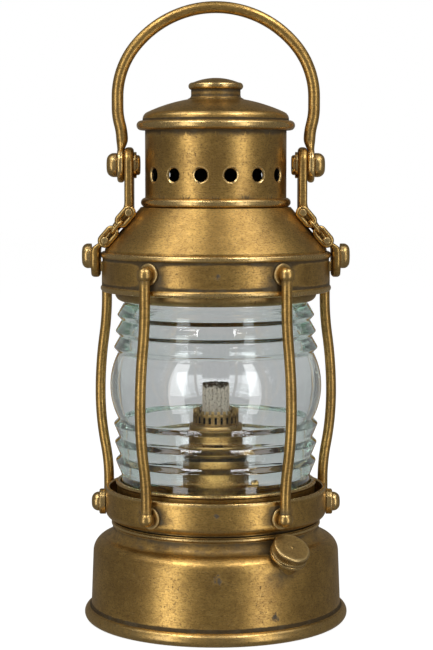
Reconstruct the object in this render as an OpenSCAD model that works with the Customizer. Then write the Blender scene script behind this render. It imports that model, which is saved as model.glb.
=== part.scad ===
// Brass oil lantern: font, burner, ribbed lens in a rod cage, vented hood and wire bail.
// Millimetres, +Z up, front towards -Y. The origin is the centre of the foot on the table.
// Azimuths are measured from the front, positive to the right.

/* [Font] */
// Outer radius of the rolled foot bead
foot_r = 66.4; // [60:0.1:75]
// Radius of the foot bead's round section
foot_bead_r = 3.5; // [2.5:0.1:4.5]
// Depth of the flat that the foot bead stands on
foot_flat = 0.3; // [0.1:0.05:0.6]
// Thickness of the spun sheet of the font
font_wall = 1.3; // [0.8:0.1:2]
// How much the wall leans in from the foot to the shoulder
font_lean = 1.1; // [0:0.1:3]
// Height where the shoulder starts
font_wall_h = 34; // [24:0.5:45]
// Radius of the round shoulder
shoulder_r = 8; // [5:0.5:11]
// Angle that the shoulder turns through before it hollows into the neck
shoulder_sweep = 75; // [60:1:80]
// How far the neck stands in from the outer edge of the foot
neck_in = 14.4; // [12.8:0.1:18]
// Straight height of the neck above its hollow
neck_h = 3.1; // [2.6:0.1:6]
// Height of the parting gap under the cage ring
parting_gap = 1; // [0.4:0.1:2]
// Width of the seat that the cage ring stands on
seat_w = 4.1; // [2:0.1:5]
// How far the spigot that centres the cage stands in from the neck
spigot_in = 5.7; // [5:0.1:9]
// Height of the spigot
spigot_h = 4.5; // [3:0.1:8]
// Thickness of the bottom plate
bottom_t = 1.2; // [0.8:0.1:2]
// Height of the bottom plate above the table
bottom_z = 1.6; // [1:0.1:2]

/* [Filler] */
// Azimuth of the filler
filler_az = 35; // [20:1:60]
// Elevation of the filler's axis
filler_el = 54; // [44:1:60]
// Angle on the round of the shoulder at which the filler stands
filler_at = 46; // [40:1:50]
// Bore of the filler neck, as a radius
filler_bore_r = 5; // [3:0.1:6]
// Wall of the filler neck
filler_wall = 1.6; // [1:0.1:2.2]
// Length of the filler neck above the shoulder
filler_neck_h = 5.7; // [5:0.1:8]
// Thickness of the collar on the filler neck
filler_collar_t = 1.4; // [0.8:0.1:2]
// Height of the collar above the shoulder
filler_collar_h = 1.2; // [1:0.1:1.6]
// Outer radius of the filler cap
cap_r = 9.2; // [8.6:0.1:11]
// Thickness of the roof of the filler cap
cap_roof = 0.7; // [0.5:0.1:1.5]
// Thickness of the cap's seal ring
gasket_t = 1; // [0.6:0.1:1.6]
// Number of grooves in the cap's edge
cap_grooves = 40; // [24:1:60]

/* [Burner] */
// Outer radius of the burner's base flange
burner_flange_r = 23; // [20:0.5:30]
// Outer radius of the burner's waist
burner_r = 16.5; // [15:0.1:20]
// Outer radius of the flared cup
burner_cup_r = 18.6; // [17:0.1:24]
// Height of the waist
burner_waist_h = 20.5; // [16:0.5:30]
// Height of the flared cup
burner_cup_h = 5.6; // [4:0.1:9]
// Wall of the burner body
burner_wall = 1.3; // [0.8:0.1:2]
// Radius of the thread that holds the burner
burner_thread_r = 11; // [10:0.1:13]
// Outer radius of the crown
crown_r = 11.5; // [10.5:0.1:14]
// Height of the crown above the burner body
crown_h = 12.3; // [9:0.1:18]
// Number of teeth on the crown
crown_teeth = 24; // [12:1:36]
// Depth of the gaps between the crown's teeth
crown_tooth_h = 1.7; // [1:0.1:3]
// Height of the collar round the crown
crown_collar_h = 5.4; // [3:0.1:8]
// Wall of the crown and of its collar
crown_wall = 1.1; // [0.6:0.1:1.6]

/* [Wick] */
// Radius of the round wick
wick_r = 7; // [5:0.1:8]
// How far the wick stands above the crown
wick_show = 12.9; // [5:0.1:20]
// Length of the wick that hangs in the font
wick_hang = 26; // [15:1:40]
// Wall of the wick tube
wick_tube_wall = 0.8; // [0.5:0.1:1.2]
// Radius of the spindle
spindle_r = 1.2; // [0.8:0.1:1.6]
// Height of the spindle above the base flange
spindle_h = 5; // [4:0.1:10]
// Radius of the star wheels, to their points
star_r = 2.3; // [1.8:0.1:3]
// Radius of the wick knob
knob_r = 4.6; // [3:0.1:6]
// Thickness of the wick knob's rim
knob_t = 3.6; // [2:0.1:6]
// How far the knob stands out from the burner's waist
knob_reach = 4.6; // [2:0.1:8]

/* [Cage] */
// How far the guard ring stands out beyond the neck
ring_out = 3.6; // [2:0.1:4.4]
// Height of the guard ring
ring_h = 16; // [13:0.5:24]
// Wall of the guard ring
ring_wall = 2; // [1.2:0.1:3]
// Thickness of the guard ring's floor
ring_floor = 2; // [1.2:0.1:3]
// Radius of the round lower edge of the guard ring
ring_edge_r = 4; // [2:0.1:5]
// Width of the channel between guard ring and gallery
ring_channel = 3.8; // [3:0.1:6]
// Height of the gallery above the ring's floor
gallery_h = 17; // [14:0.5:24]
// Wall of the gallery
gallery_wall = 1.6; // [1:0.1:2.5]
// Height of the ledge that the lens stands on
ledge_h = 8; // [6:0.1:11]
// Radius of the guard rods
rod_r = 2.6; // [2:0.1:3.2]
// How far the rods bow outwards from their top ends
rod_bow = 3.9; // [1:0.1:6]
// Radius of the balls on the ends of the rods
ball_r = 3.7; // [3.3:0.1:4.5]
// Azimuth of the two front guard rods
rod_front_az = 34; // [25:1:45]
// Azimuth of the two side guard rods
rod_side_az = 112; // [108:1:140]
// Height of the lower balls above the ring's underside
ball_low_h = 7.5; // [6:0.1:10]
// Height of the upper balls above the band's lower edge
ball_top_h = 10.8; // [9:0.1:12]
// Radius of the washers behind the balls
rod_washer_r = 5.3; // [4.5:0.1:5.6]
// Thickness of the washers behind the balls
rod_washer_t = 1.2; // [0.8:0.1:1.6]

/* [Lens] */
// How far the neck of the lens stands in from its foot
lens_neck_in = 2.3; // [1:0.1:3.6]
// How far the plain belt stands out beyond the foot of the lens
lens_belt_out = 5.4; // [3:0.1:7]
// How far the grooves beside the belt stand out beyond the foot of the lens
lens_groove_out = 1.3; // [0.3:0.1:2.4]
// Height of the foot of the lens, up to the first groove
lens_foot_h = 12.4; // [10:0.1:18]
// Height of each lower rib
lens_rib_low_h = 9.3; // [7:0.1:12]
// Height of the plain belt
lens_belt_h = 33.4; // [24:0.1:45]
// Height of each upper rib
lens_rib_top_h = 8.1; // [6:0.1:11]
// How far the ribs stand out of their grooves
lens_rib_out = 2.5; // [1:0.1:3.5]
// Height of the neck of the lens
lens_neck_h = 7.2; // [5:0.1:10]
// Wall of the lens at its foot
lens_wall = 5.4; // [4.6:0.1:7]
// Wall of the plain belt
lens_belt_wall = 3.3; // [2.6:0.1:4.5]
// Height of a rib's short face, on the side of the belt
lens_tip_h = 2.3; // [1.5:0.1:3.5]
// Radius of the rounded tip of a rib
lens_tip_r = 0.8; // [0.4:0.1:1]

/* [Hood] */
// How far the band stands out beyond the guard ring
band_out = 1; // [0:0.1:5]
// Height of the band
band_h = 19.8; // [18:0.1:28]
// Sheet thickness of the hood
hood_wall = 1.2; // [0.8:0.1:1.8]
// How far the band's beads stand out
bead_out = 1; // [0.5:0.1:1.6]
// Radius of the beads' round section
bead_r = 1.7; // [1.2:0.1:2.2]
// Rise of the cone
cone_h = 22; // [15:0.5:35]
// Outer radius of the vent drum
drum_r = 35.2; // [30:0.1:38]
// Height of the vent drum
drum_h = 38; // [30:0.5:50]
// How far the drum's foot bead stands out
drum_foot_out = 2.2; // [1:0.1:3]
// Height of the drum's foot bead
drum_foot_h = 4.6; // [3:0.1:6]
// Number of vent holes
vent_count = 15; // [9:1:18]
// Radius of the vent holes
vent_r = 3.25; // [2:0.05:4]
// Width of the bevel round the vent holes
vent_bevel = 0.7; // [0.3:0.1:1]
// Height of the vent holes above the drum's foot
vent_h = 16; // [10:0.5:24]
// Outer radius of the dome's rolled rim
rim_r = 39.4; // [37.6:0.1:42]
// Radius of the rim's round section
rim_bead_r = 2.4; // [1.8:0.1:3]
// Outer radius of the dome above its rim
dome_r = 36.4; // [35:0.1:37]
// Radius of the dome's round edge
dome_edge_r = 4; // [2:0.1:6]
// Radius of the dome's flat crown
dome_crown_r = 81; // [60:1:120]

/* [Finial] */
// Radius of the finial's neck
finial_neck_r = 12.3; // [9:0.1:15]
// Radius of the finial's bead
finial_bead_r = 13.6; // [10:0.1:16]
// Height of the finial's neck
finial_neck_h = 4.4; // [3:0.1:7]
// Height of the finial's bead
finial_bead_h = 3.5; // [2.5:0.1:5]
// Rise of the finial's domed top
finial_top_h = 2.4; // [1:0.1:4]
// Radius of the finial's stud
finial_stud_r = 2.5; // [1.5:0.1:3.5]

/* [Ears and bail] */
// Height of the bail's pivots above the drum's foot
pivot_h = 20.8; // [16:0.1:26]
// Thickness of the ear straps
ear_t = 4.4; // [3:0.1:5.5]
// Radius of the ears round the pivots, half the width of the straps
ear_r = 8.9; // [7:0.1:9]
// Radius of the pivot rivets
pivot_r = 3; // [2:0.1:4]
// Radius of the rivets' dome heads
rivet_head_r = 6; // [5:0.1:7]
// Height of the rivets' dome heads
rivet_head_h = 5; // [3:0.1:6]
// Radius of the ear screws' dome heads
ear_screw_head_r = 6.2; // [5:0.1:7]
// Height of the ear screws' dome heads
ear_screw_head_h = 4.7; // [3:0.1:6]
// Radius of the bail's wire
bail_wire_r = 2.95; // [2:0.05:3.2]
// How far the arch of the bail stands out beyond its arms
bail_spread = 2.2; // [0.5:0.1:6]
// Radius of the bail's side bends
bail_side_r = 40; // [30:0.5:46]
// Angle of the bail's side bends
bail_side_sweep = 38.9; // [30:0.1:50]
// Height of the arch's spring line above the pivots
bail_spring_h = 33.6; // [30:0.1:45]
// Thickness of the bail's flattened eyes
bail_eye_t = 3.4; // [2.5:0.1:4]
// Radius of the bail's flattened eyes
bail_eye_r = 8.7; // [7:0.1:8.8]

/* [Chains] */
// Radius of the chain wire
chain_wire_r = 1.05; // [0.8:0.05:1.1]
// Length of the end links, outside
link_len = 12.4; // [11:0.1:12.6]
// Width of all the links, outside
link_w = 6.6; // [6.4:0.1:8]
// Distance between the middles of the two end links
link_pitch = 12.9; // [12.7:0.1:14]
// How far the chain's middle line stands out from the cone's edge
chain_stand = 3.3; // [3.2:0.1:5]

/* [Fits] */
// Running clearance of pins and shafts, on the radius
run_fit = 0.06; // [0.02:0.01:0.1]
// Clearance of parts that slip together, on the radius
slip_fit = 0.2; // [0.1:0.05:0.4]
// Clearance beside parts that turn
side_fit = 0.3; // [0.2:0.05:0.5]
// Clearance round the lens, which is never clamped hard
lens_fit = 0.6; // [0.3:0.1:1]

/* [Hidden] */
$fn = 72;

// How much the joining balls stand out of a round bar
join = 0.04;

// Colours as the photo shows them
brass = [0.62, 0.47, 0.22];
dark_brass = [0.45, 0.34, 0.17];
bright_brass = [0.74, 0.56, 0.27];
clear_glass = [0.80, 0.88, 0.86, 0.4];
cotton = [0.80, 0.76, 0.66];
seal_black = [0.12, 0.12, 0.12];

// Font levels and radii
bead_mid_r = foot_r - foot_bead_r;
bead_mid_z = foot_bead_r - foot_flat;
font_foot_r = bead_mid_r + 0.1;
neck_r = foot_r - neck_in;
spigot_r = neck_r - spigot_in;
font_top_r = font_foot_r - font_lean;
shoulder_mid_r = font_top_r - shoulder_r;
shoulder_end_r = shoulder_mid_r + shoulder_r * cos(shoulder_sweep);
shoulder_end_z = font_wall_h + shoulder_r * sin(shoulder_sweep);
hollow_r = (shoulder_end_r - neck_r) / (1 - cos(shoulder_sweep));
hollow_z = shoulder_end_z + hollow_r * sin(shoulder_sweep);
neck_bead_r = 1.1;
neck_z = hollow_z + neck_h;
seat_z = neck_z + parting_gap;
seat_r = spigot_r + seat_w;
font_top_z = seat_z + spigot_h;

// Filler: a point on the shoulder and the axis through it
filler_at_r = shoulder_mid_r + shoulder_r * cos(filler_at);
filler_at_z = font_wall_h + shoulder_r * sin(filler_at);
filler_r = filler_bore_r + filler_wall;
filler_inside = 7;
filler_collar_r = cap_r + 0.2;
collar_top = filler_collar_h + filler_collar_t;
gasket_gap = 0.1;
gasket_at = filler_neck_h + gasket_gap;
cap_low = collar_top + side_fit;
cap_room = gasket_at + gasket_t + gasket_gap;
cap_top = cap_room + cap_roof;
cap_bore_r = filler_r + side_fit;
cap_edge = 0.8;
groove_r = 0.35;

// Burner levels
bush_flange_t = 2.5;
bush_flange_r = 18;
bush_depth = 5.5;
flange_z = font_top_z + bush_flange_t;
flange_h = 8;
flange_edge_r = 1.5;
flange_cove_r = 4.5;
waist_z = flange_z + flange_h;
cup_z = waist_z + burner_waist_h;
cup_groove = 1.2;
body_top_z = cup_z + burner_cup_h + burner_wall;
crown_slot_w = 0.9;
crown_slot_h = 3;
crown_slot_gap = 0.9;
crown_top_z = body_top_z + crown_h;
wick_bore_r = wick_r + 0.3;
wick_tube_r = wick_bore_r + wick_tube_wall;
wick_tube_top = crown_top_z - 3.5;
wick_top_z = crown_top_z + wick_show;
wick_low_z = font_top_z - wick_hang;
spindle_z = waist_z + spindle_h;
spindle_y = -(wick_r + star_r + 0.3);
spindle_wall_x = sqrt(pow(burner_r, 2) - pow(spindle_y, 2));
spindle_tail = 1.2;
star_t = 1.6;
star_x = 2.2;

// Cage levels and radii
ring_z = seat_z;
floor_top_z = ring_z + ring_floor;
ring_r = neck_r + ring_out;
ring_in_r = ring_r - ring_wall;
ring_bore_r = spigot_r + slip_fit;
gallery_r = ring_in_r - ring_channel;
gallery_in_r = gallery_r - gallery_wall;
lens_z = floor_top_z + ledge_h;
screw_z = ring_z + ball_low_h;
gallery_head_r = 4.8;
gallery_head_h = 3.9;
gallery_washer_r = 6.4;
gallery_washer_t = 3.2;
gallery_shank_r = 2;

// Lens levels and radii
rib_count = 3;
lens_foot_r = gallery_in_r - lens_fit;
lens_neck_r = lens_foot_r - lens_neck_in;
lens_belt_r = lens_foot_r + lens_belt_out;
lens_groove_r = lens_foot_r + lens_groove_out;
lens_end_r = lens_foot_r - lens_wall;
ledge_in = 0.8;
ledge_r = lens_end_r + ledge_in;
lens_belly_r = lens_groove_r - lens_belt_wall;
ledge_t = 1.5;
lens_low_z = lens_z + lens_foot_h;
belt_low_z = lens_low_z + rib_count * lens_rib_low_h;
belt_top_z = belt_low_z + lens_belt_h;
lens_neck_z = belt_top_z + rib_count * lens_rib_top_h;
lens_top_z = lens_neck_z + lens_neck_h;

// Hood levels and radii
band_r = ring_r + band_out;
collar_z = lens_top_z + side_fit;
collar_t = 1.5;
collar_bore_r = lens_neck_r + side_fit;
collar_flare_r = 4;
collar_lip = 0.8;
band_lip_w = 2;
band_lip_t = 1.2;
band_z = collar_z - band_lip_t;
band_top_z = band_z + band_h;
band_in_r = band_r - hood_wall;
bead_step = 0.2;
bead_top_r = band_r + bead_out;
cone_top_z = band_top_z + cone_h;
cone_skirt_r = band_in_r - 0.1;
cone_skirt_h = 3;
cone_low_r = band_r - hood_wall;
drum_foot_r = drum_r + drum_foot_out;
drum_top_z = cone_top_z + drum_h;
drum_in_r = drum_r - hood_wall;
rim_mid_r = rim_r - rim_bead_r;
rim_mid_z = drum_top_z + rim_bead_r;
rim_top_z = drum_top_z + 2 * rim_bead_r;
dome_skirt_r = drum_in_r - slip_fit;
dome_skirt_h = 5;
dome_edge_mid_r = dome_r - dome_edge_r;
dome_edge_z = rim_top_z + 0.6;
dome_mid_z = dome_edge_z - sqrt(pow(dome_crown_r - dome_edge_r, 2) - pow(dome_edge_mid_r, 2));
dome_turn = atan2(dome_edge_z - dome_mid_z, dome_edge_mid_r);
dome_top_z = dome_mid_z + sqrt(pow(dome_crown_r, 2) - pow(finial_neck_r, 2));
finial_z = dome_top_z;
finial_top_z = finial_z + finial_neck_h + finial_bead_h + finial_top_h;
finial_grip_z = dome_mid_z + sqrt(pow(dome_crown_r - hood_wall, 2) - pow(finial_stud_r + 3, 2)) - 0.15;
finial_nut_t = 3;
finial_nut_r = 5;

// Guard rods: their azimuths; each has upright ends, then two reverse bends to a widest point in the middle
rod_az = [-rod_front_az, rod_front_az, -rod_side_az, rod_side_az];
rod_top_z = band_z + ball_top_h;
rod_low_z = screw_z;
rod_top_at = bead_top_r + rod_r + 0.1;
washer_low_at = ring_r + 0.05;
washer_top_at = band_r + 0.05;
rod_low_at = washer_low_at + rod_washer_t + 2.75;
rod_wide_at = rod_top_at + rod_bow;
rod_wide_z = lens_low_z + 37.5;
rod_straight_top = 15;
rod_straight_low = 8;
main_share = 0.6;
stud_r = 1.4;
stud_head_r = 2.6;
stud_head_t = 1.3;
stud_in_ball = 0.4;

// Ears: an outer-face path from the pivot down the cone to the band
pivot_z = cone_top_z + pivot_h;
ear_in_x = rim_r + 1.5;
ear_out_x = ear_in_x + ear_t;
tab_in_x = bead_top_r + 0.1;
tab_out_x = tab_in_x + ear_t;
ear_screw_z = band_top_z - 2.4;
ear_knee_z = cone_top_z + 0.4;
ear_neck_x = tab_out_x - 6.2;
ear_neck_z = band_top_z + 5.9;
tab_top_z = band_top_z + 1.9;
tab_low_z = band_z + 6.8 + ear_r;
ear_gap = 0.8;
cone_low_z = band_top_z + 1;
cone_run = (cone_low_r - drum_foot_r) / (cone_top_z - cone_low_z);
ear_foot_z = cone_top_z - (ear_in_x - ear_gap - drum_foot_r) / cone_run;
ear_shank_r = 2.2;
ear_nut_t = 2.4;
ear_nut_r = 4;
rivet_washer_t = 1.4;
rivet_washer_r = 6.5;
rivet_tail_r = 5;
rivet_tail_h = 1.9;

// Bail: round arch, S-bends and flat eyes
bail_spring_z = pivot_z + bail_spring_h;
bail_eye_x = ear_out_x + side_fit;
bail_eye_out_x = bail_eye_x + bail_eye_t;
bail_arm_x = bail_eye_x + 1;
bail_half_w = bail_arm_x + bail_spread;
bail_side_mid_x = bail_half_w - bail_side_r;
bail_top_r = bail_side_r + bail_side_mid_x / cos(bail_side_sweep);
bail_top_mid_z = bail_spring_z - bail_side_mid_x * tan(bail_side_sweep);
bail_bend_r = 32;
bail_bend_sweep = acos(1 - bail_spread / (2 * bail_bend_r));
bail_bend_h = 2 * bail_bend_r * sin(bail_bend_sweep);
bail_bend_z = pivot_z + 12;
bail_flat_z = pivot_z + 10.5;

// Chains: two flat end links on pins, and a link on edge between them
chain_lean = atan2(1, cone_run);
chain_mid_z = (ear_knee_z + ear_neck_z) / 2 - 1.6;
chain_mid_x = cone_at(chain_mid_z) + chain_stand;
chain_y = -(ear_r + link_w / 2 + 0.3);
link_bend_r = link_w / 2 - chain_wire_r;
link_gap = 0.15;
link_mid_len = link_pitch - link_len + 8 * chain_wire_r + 2 * link_gap;
pin_r = 0.9;
pin_head_r = 1.9;
pin_head_t = 0.9;
pin_depth = link_w / 2 + 3.3;

// Points on a round arc, ends included
function arc(mid, r, a0, a1, n = 8) =
    [for (i = [0 : n]) mid + r * [cos(a0 + (a1 - a0) * i / n), sin(a0 + (a1 - a0) * i / n)]];

// Points on an arc from p to q that stands out by rise on its right-hand side, without the last one
function bulge(p, q, rise, n = 8) =
    let (
        chord = norm(q - p),
        r = (pow(chord / 2, 2) + pow(rise, 2)) / (2 * rise),
        along = (q - p) / chord,
        out = [along[1], -along[0]],
        mid = (p + q) / 2 + out * (rise - r),
        half = asin(chord / 2 / r),
        heading = atan2(out[1], out[0])
    )
    [for (i = [0 : n - 1])
        let (a = heading + half * (2 * i / n - 1))
        mid + r * [cos(a), sin(a)]];

// Points on a rib of the lens from groove p up to groove q, without the last one: two straight faces and a
// rounded tip that lies tip_at above p
function rib(p, q, tip_at) =
    let (
        along = (q - p) / norm(q - p),
        tip = p + along * tip_at + [along[1], -along[0]] * lens_rib_out,
        down = (p - tip) / norm(p - tip),
        up = (q - tip) / norm(q - tip),
        half = acos(down * up) / 2,
        inward = (down + up) / norm(down + up),
        heading = atan2(-inward[1], -inward[0])
    )
    concat(
        [p],
        arc(tip + inward * lens_tip_r / sin(half), lens_tip_r, heading - 90 + half, heading + 90 - half, 6)
    );

// A list of points in the opposite order
function backwards(points) = [for (i = [len(points) - 1 : -1 : 0]) points[i]];

// Outer radius of the cone at a height
function cone_at(z) = drum_foot_r + (cone_top_z - z) * cone_run;

// Turned piece from a radius-height outline
module turned(outline) {
    rotate_extrude() polygon(outline);
}

// Flat ring or tube from z0 to z1
module tube(r, bore, z0, z1) {
    difference() {
        translate([0, 0, z0]) cylinder(r = r, h = z1 - z0);
        translate([0, 0, z0 - 1]) cylinder(r = bore, h = z1 - z0 + 2);
    }
}

// Children turned so that their +X points to an azimuth
module facing(azimuth) {
    rotate([0, 0, azimuth - 90]) children();
}

// Children with +Z turned to point along +X, at a place on the XZ plane
module along_x(x, z) {
    translate([x, 0, z]) rotate([0, 90, 0]) children();
}

// Children on both sides of the lantern
module both_sides() {
    children();
    mirror([1, 0, 0]) children();
}

// Dome head with a flat foot at z = 0 and a round edge
module dome_head(r, h, edge) {
    turned(concat([[0, 0], [r, 0]], arc([r - edge, h - edge], edge, 0, 90, 8), [[0, h]]));
}

// Round bar bent in the XZ plane about (x, z), from angle a0 through sweep
module bend(x, z, bend_r, wire_r, a0, sweep) {
    translate([x, 0, z])
        rotate([90, 0, 0])
            rotate_extrude(angle = sweep, start = a0)
                translate([bend_r, 0])
                    circle(r = wire_r, $fn = 32);
}

// Ball that joins two lengths of round bar end to end
module knuckle(x, z, wire_r) {
    translate([x, 0, z]) sphere(r = wire_r + join, $fn = 48);
}

// Upright round bar in the XZ plane
module upright(x, z0, z1, r) {
    translate([x, 0, z0]) cylinder(r = r, h = z1 - z0, $fn = 32);
}

// Children set on the filler's axis, with z = 0 at the shoulder
module at_filler() {
    facing(filler_az)
        translate([filler_at_r, 0, filler_at_z])
            rotate([0, 90 - filler_el, 0])
                children();
}

module font_body() {
    outside = concat(
        [[bead_mid_r, 0]],
        arc([bead_mid_r, bead_mid_z], foot_bead_r, -asin(bead_mid_z / foot_bead_r), 88, 14),
        [[font_foot_r, 2 * foot_bead_r]],
        arc([shoulder_mid_r, font_wall_h], shoulder_r, 0, shoulder_sweep, 12),
        arc([neck_r + hollow_r, hollow_z], hollow_r, 180 + shoulder_sweep, 180, 8),
        arc([neck_r - 0.4, neck_z - 0.3 - neck_bead_r], neck_bead_r, -68, 68, 8),
        [[neck_r, neck_z], [seat_r, neck_z], [seat_r, seat_z], [spigot_r, seat_z],
         [spigot_r, font_top_z], [burner_thread_r + 3.2, font_top_z]]
    );
    inside = concat(
        [[burner_thread_r + 3.2, font_top_z - font_wall],
         [spigot_r - font_wall, font_top_z - font_wall],
         [spigot_r - font_wall, neck_z - font_wall],
         [neck_r - font_wall, neck_z - font_wall]],
        arc([neck_r + hollow_r, hollow_z], hollow_r + font_wall, 180, 180 + shoulder_sweep, 8),
        arc([shoulder_mid_r, font_wall_h], shoulder_r - font_wall, shoulder_sweep, 0, 12),
        [[font_foot_r - font_wall, 2 * foot_bead_r], [bead_mid_r - font_wall, 0]]
    );
    color(brass)
        difference() {
            turned(concat(outside, inside));
            at_filler() translate([0, 0, -filler_inside - 2]) cylinder(r = filler_r + run_fit, h = 20);
        }
}

module font_bottom() {
    color(dark_brass)
        translate([0, 0, bottom_z])
            cylinder(r = bead_mid_r - font_wall - 0.1, h = bottom_t);
}

module filler_neck() {
    color(brass)
        at_filler() {
            tube(filler_r, filler_bore_r, -filler_inside, filler_neck_h);
            tube(filler_collar_r, filler_bore_r, filler_collar_h, collar_top);
        }
}

module filler_gasket() {
    color(seal_black)
        at_filler()
            tube(cap_bore_r - 0.1, filler_bore_r + 0.1, gasket_at, gasket_at + gasket_t);
}

module filler_cap() {
    color(bright_brass)
        at_filler() {
            difference() {
                translate([0, 0, cap_low]) dome_head(cap_r, cap_top - cap_low, cap_edge);
                translate([0, 0, cap_low - 1]) cylinder(r = cap_bore_r, h = cap_room - cap_low + 1);
                for (i = [0 : cap_grooves - 1])
                    rotate([0, 0, 360 * i / cap_grooves])
                        translate([cap_r, 0, cap_low + 0.7])
                            cylinder(r = groove_r, h = cap_top - cap_low - cap_edge - 0.9, $fn = 16);
            }
            translate([0, 0, cap_top - 0.1]) cylinder(r1 = 0.9, r2 = 0.5, h = 0.5, $fn = 24);
        }
}

module burner_collar() {
    color(dark_brass)
        turned([
            [burner_thread_r + slip_fit, font_top_z - bush_depth],
            [burner_thread_r + 3, font_top_z - bush_depth],
            [burner_thread_r + 3, font_top_z],
            [bush_flange_r, font_top_z],
            [bush_flange_r, flange_z],
            [burner_thread_r + slip_fit, flange_z]
        ]);
}

module burner_body() {
    outside = concat(
        [[burner_thread_r, font_top_z - bush_depth], [burner_thread_r, flange_z],
         [burner_flange_r - flange_edge_r, flange_z]],
        arc([burner_flange_r - flange_edge_r, flange_z + flange_edge_r], flange_edge_r, -60, 90, 8),
        arc([burner_r + flange_cove_r, waist_z - 0.5], flange_cove_r, 270, 180, 8),
        [[burner_r, cup_z - cup_groove], [burner_r - 1, cup_z - cup_groove], [burner_r - 1, cup_z]],
        arc([burner_cup_r, cup_z], burner_cup_r - burner_r + 0.6, 180, 105, 6),
        [[burner_cup_r, cup_z + 3.4], [burner_cup_r, body_top_z - 1.2], [burner_cup_r - 1.2, body_top_z],
         [wick_tube_r + run_fit, body_top_z], [wick_tube_r + run_fit, font_top_z - bush_depth]]
    );
    color(brass)
        difference() {
            turned(outside);
            translate([0, 0, waist_z - 4])
                cylinder(r = burner_r - 1 - burner_wall, h = body_top_z - burner_wall - waist_z + 4);
            translate([0, spindle_y, 0])
                along_x(-burner_flange_r, spindle_z)
                    cylinder(r = spindle_r + run_fit, h = 2 * burner_flange_r);
        }
}

module crown_collar() {
    color(brass)
        tube(crown_r + crown_wall + 0.8, crown_r + run_fit, body_top_z, body_top_z + crown_collar_h);
}

module burner_crown() {
    tooth_gap = PI * crown_r / crown_teeth;
    color(dark_brass)
        difference() {
            tube(crown_r, crown_r - crown_wall, body_top_z, crown_top_z);
            for (i = [0 : crown_teeth - 1])
                rotate([0, 0, 360 * i / crown_teeth])
                    translate([crown_r - crown_wall - 1, 0, 0]) {
                        translate([0, -tooth_gap / 2, crown_top_z - crown_tooth_h])
                            cube([crown_wall + 2, tooth_gap, crown_tooth_h + 1]);
                        translate([0, -crown_slot_w / 2, body_top_z + crown_collar_h + crown_slot_gap])
                            cube([crown_wall + 2, crown_slot_w, crown_slot_h]);
                    }
        }
}

module wick_tube() {
    slot_w = 2 * (star_x + star_t);
    color(dark_brass)
        difference() {
            tube(wick_tube_r, wick_bore_r, font_top_z - bush_depth, wick_tube_top);
            translate([-slot_w / 2, -wick_tube_r - 1, spindle_z - star_r - 0.5])
                cube([slot_w, wick_tube_r, 2 * star_r + 1]);
        }
}

module wick() {
    color(cotton)
        turned(concat(
            [[0, wick_low_z], [wick_r, wick_low_z]],
            arc([wick_r - 0.8, wick_top_z - 1.1], 0.8, 0, 90, 4),
            [[wick_r - 2.4, wick_top_z], [0, wick_top_z]]
        ));
}

module wick_spindle() {
    color(dark_brass)
        translate([0, spindle_y, spindle_z]) {
            along_x(-spindle_wall_x - spindle_tail, 0)
                cylinder(r = spindle_r, h = 2 * spindle_wall_x + spindle_tail + knob_reach);
            for (side = [-1, 1])
                along_x(side * star_x - star_t / 2, 0)
                    linear_extrude(star_t)
                        for (turn = [0, 45])
                            rotate(turn) square(star_r * sqrt(2), center = true);
        }
}

module wick_knob() {
    grooves = 20;
    hub_r = spindle_r + 1.2;
    hub_x = sqrt(pow(burner_r, 2) - pow(spindle_y + hub_r, 2)) + side_fit;
    end_x = spindle_wall_x + knob_reach;
    rim_x = end_x - 0.6;
    color(brass)
        translate([0, spindle_y, spindle_z])
            difference() {
                union() {
                    along_x(hub_x, 0) cylinder(r = hub_r, h = end_x + 1 - hub_x);
                    along_x(rim_x, 0) dome_head(knob_r, knob_t, 0.9);
                }
                along_x(hub_x - 1, 0) cylinder(r = spindle_r + 0.02, h = end_x + 1.02 - hub_x);
                along_x(rim_x - 0.4, 0)
                    for (i = [0 : grooves - 1])
                        rotate([0, 0, 360 * i / grooves])
                            translate([knob_r, 0, 0])
                                cylinder(r = 0.4, h = knob_t + 1, $fn = 16);
            }
}

module guard_ring() {
    top = ring_z + ring_h;
    lip = 0.6;
    color(brass)
        difference() {
            turned(concat(
                [[ring_bore_r, ring_z]],
                arc([ring_r - ring_edge_r, ring_z + ring_edge_r], ring_edge_r, -90, 0, 10),
                arc([ring_r - lip, top - lip], lip, 0, 90, 4),
                arc([ring_in_r + lip, top - lip], lip, 90, 180, 4),
                [[ring_in_r, floor_top_z], [ring_bore_r, floor_top_z]]
            ));
            both_sides()
                along_x(ring_in_r - 1, screw_z) cylinder(r = gallery_shank_r + run_fit, h = ring_wall + 4);
            for (azimuth = rod_az)
                facing(azimuth)
                    along_x(ring_in_r - 1, screw_z) cylinder(r = stud_r + run_fit, h = ring_wall + 4);
        }
}

module glass_gallery() {
    top = floor_top_z + gallery_h;
    roll = 1;
    color(brass)
        difference() {
            turned(concat(
                [[gallery_in_r, floor_top_z], [gallery_r, floor_top_z], [gallery_r, top - 2 * roll]],
                arc([gallery_r - 0.4, top - roll], roll, -60, 90, 8),
                [[gallery_in_r, top], [gallery_in_r, lens_z], [ledge_r, lens_z],
                 [ledge_r, lens_z - ledge_t], [gallery_in_r, lens_z - ledge_t]]
            ));
            both_sides()
                along_x(gallery_in_r - 1, screw_z)
                    cylinder(r = gallery_shank_r + run_fit, h = gallery_wall + 2);
        }
}

module gallery_washers() {
    color(brass)
        both_sides()
            along_x(ring_r, screw_z)
                difference() {
                    dome_head(gallery_washer_r, gallery_washer_t, 0.8);
                    translate([0, 0, -1]) cylinder(r = gallery_shank_r + run_fit, h = gallery_washer_t + 2);
                }
}

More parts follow.
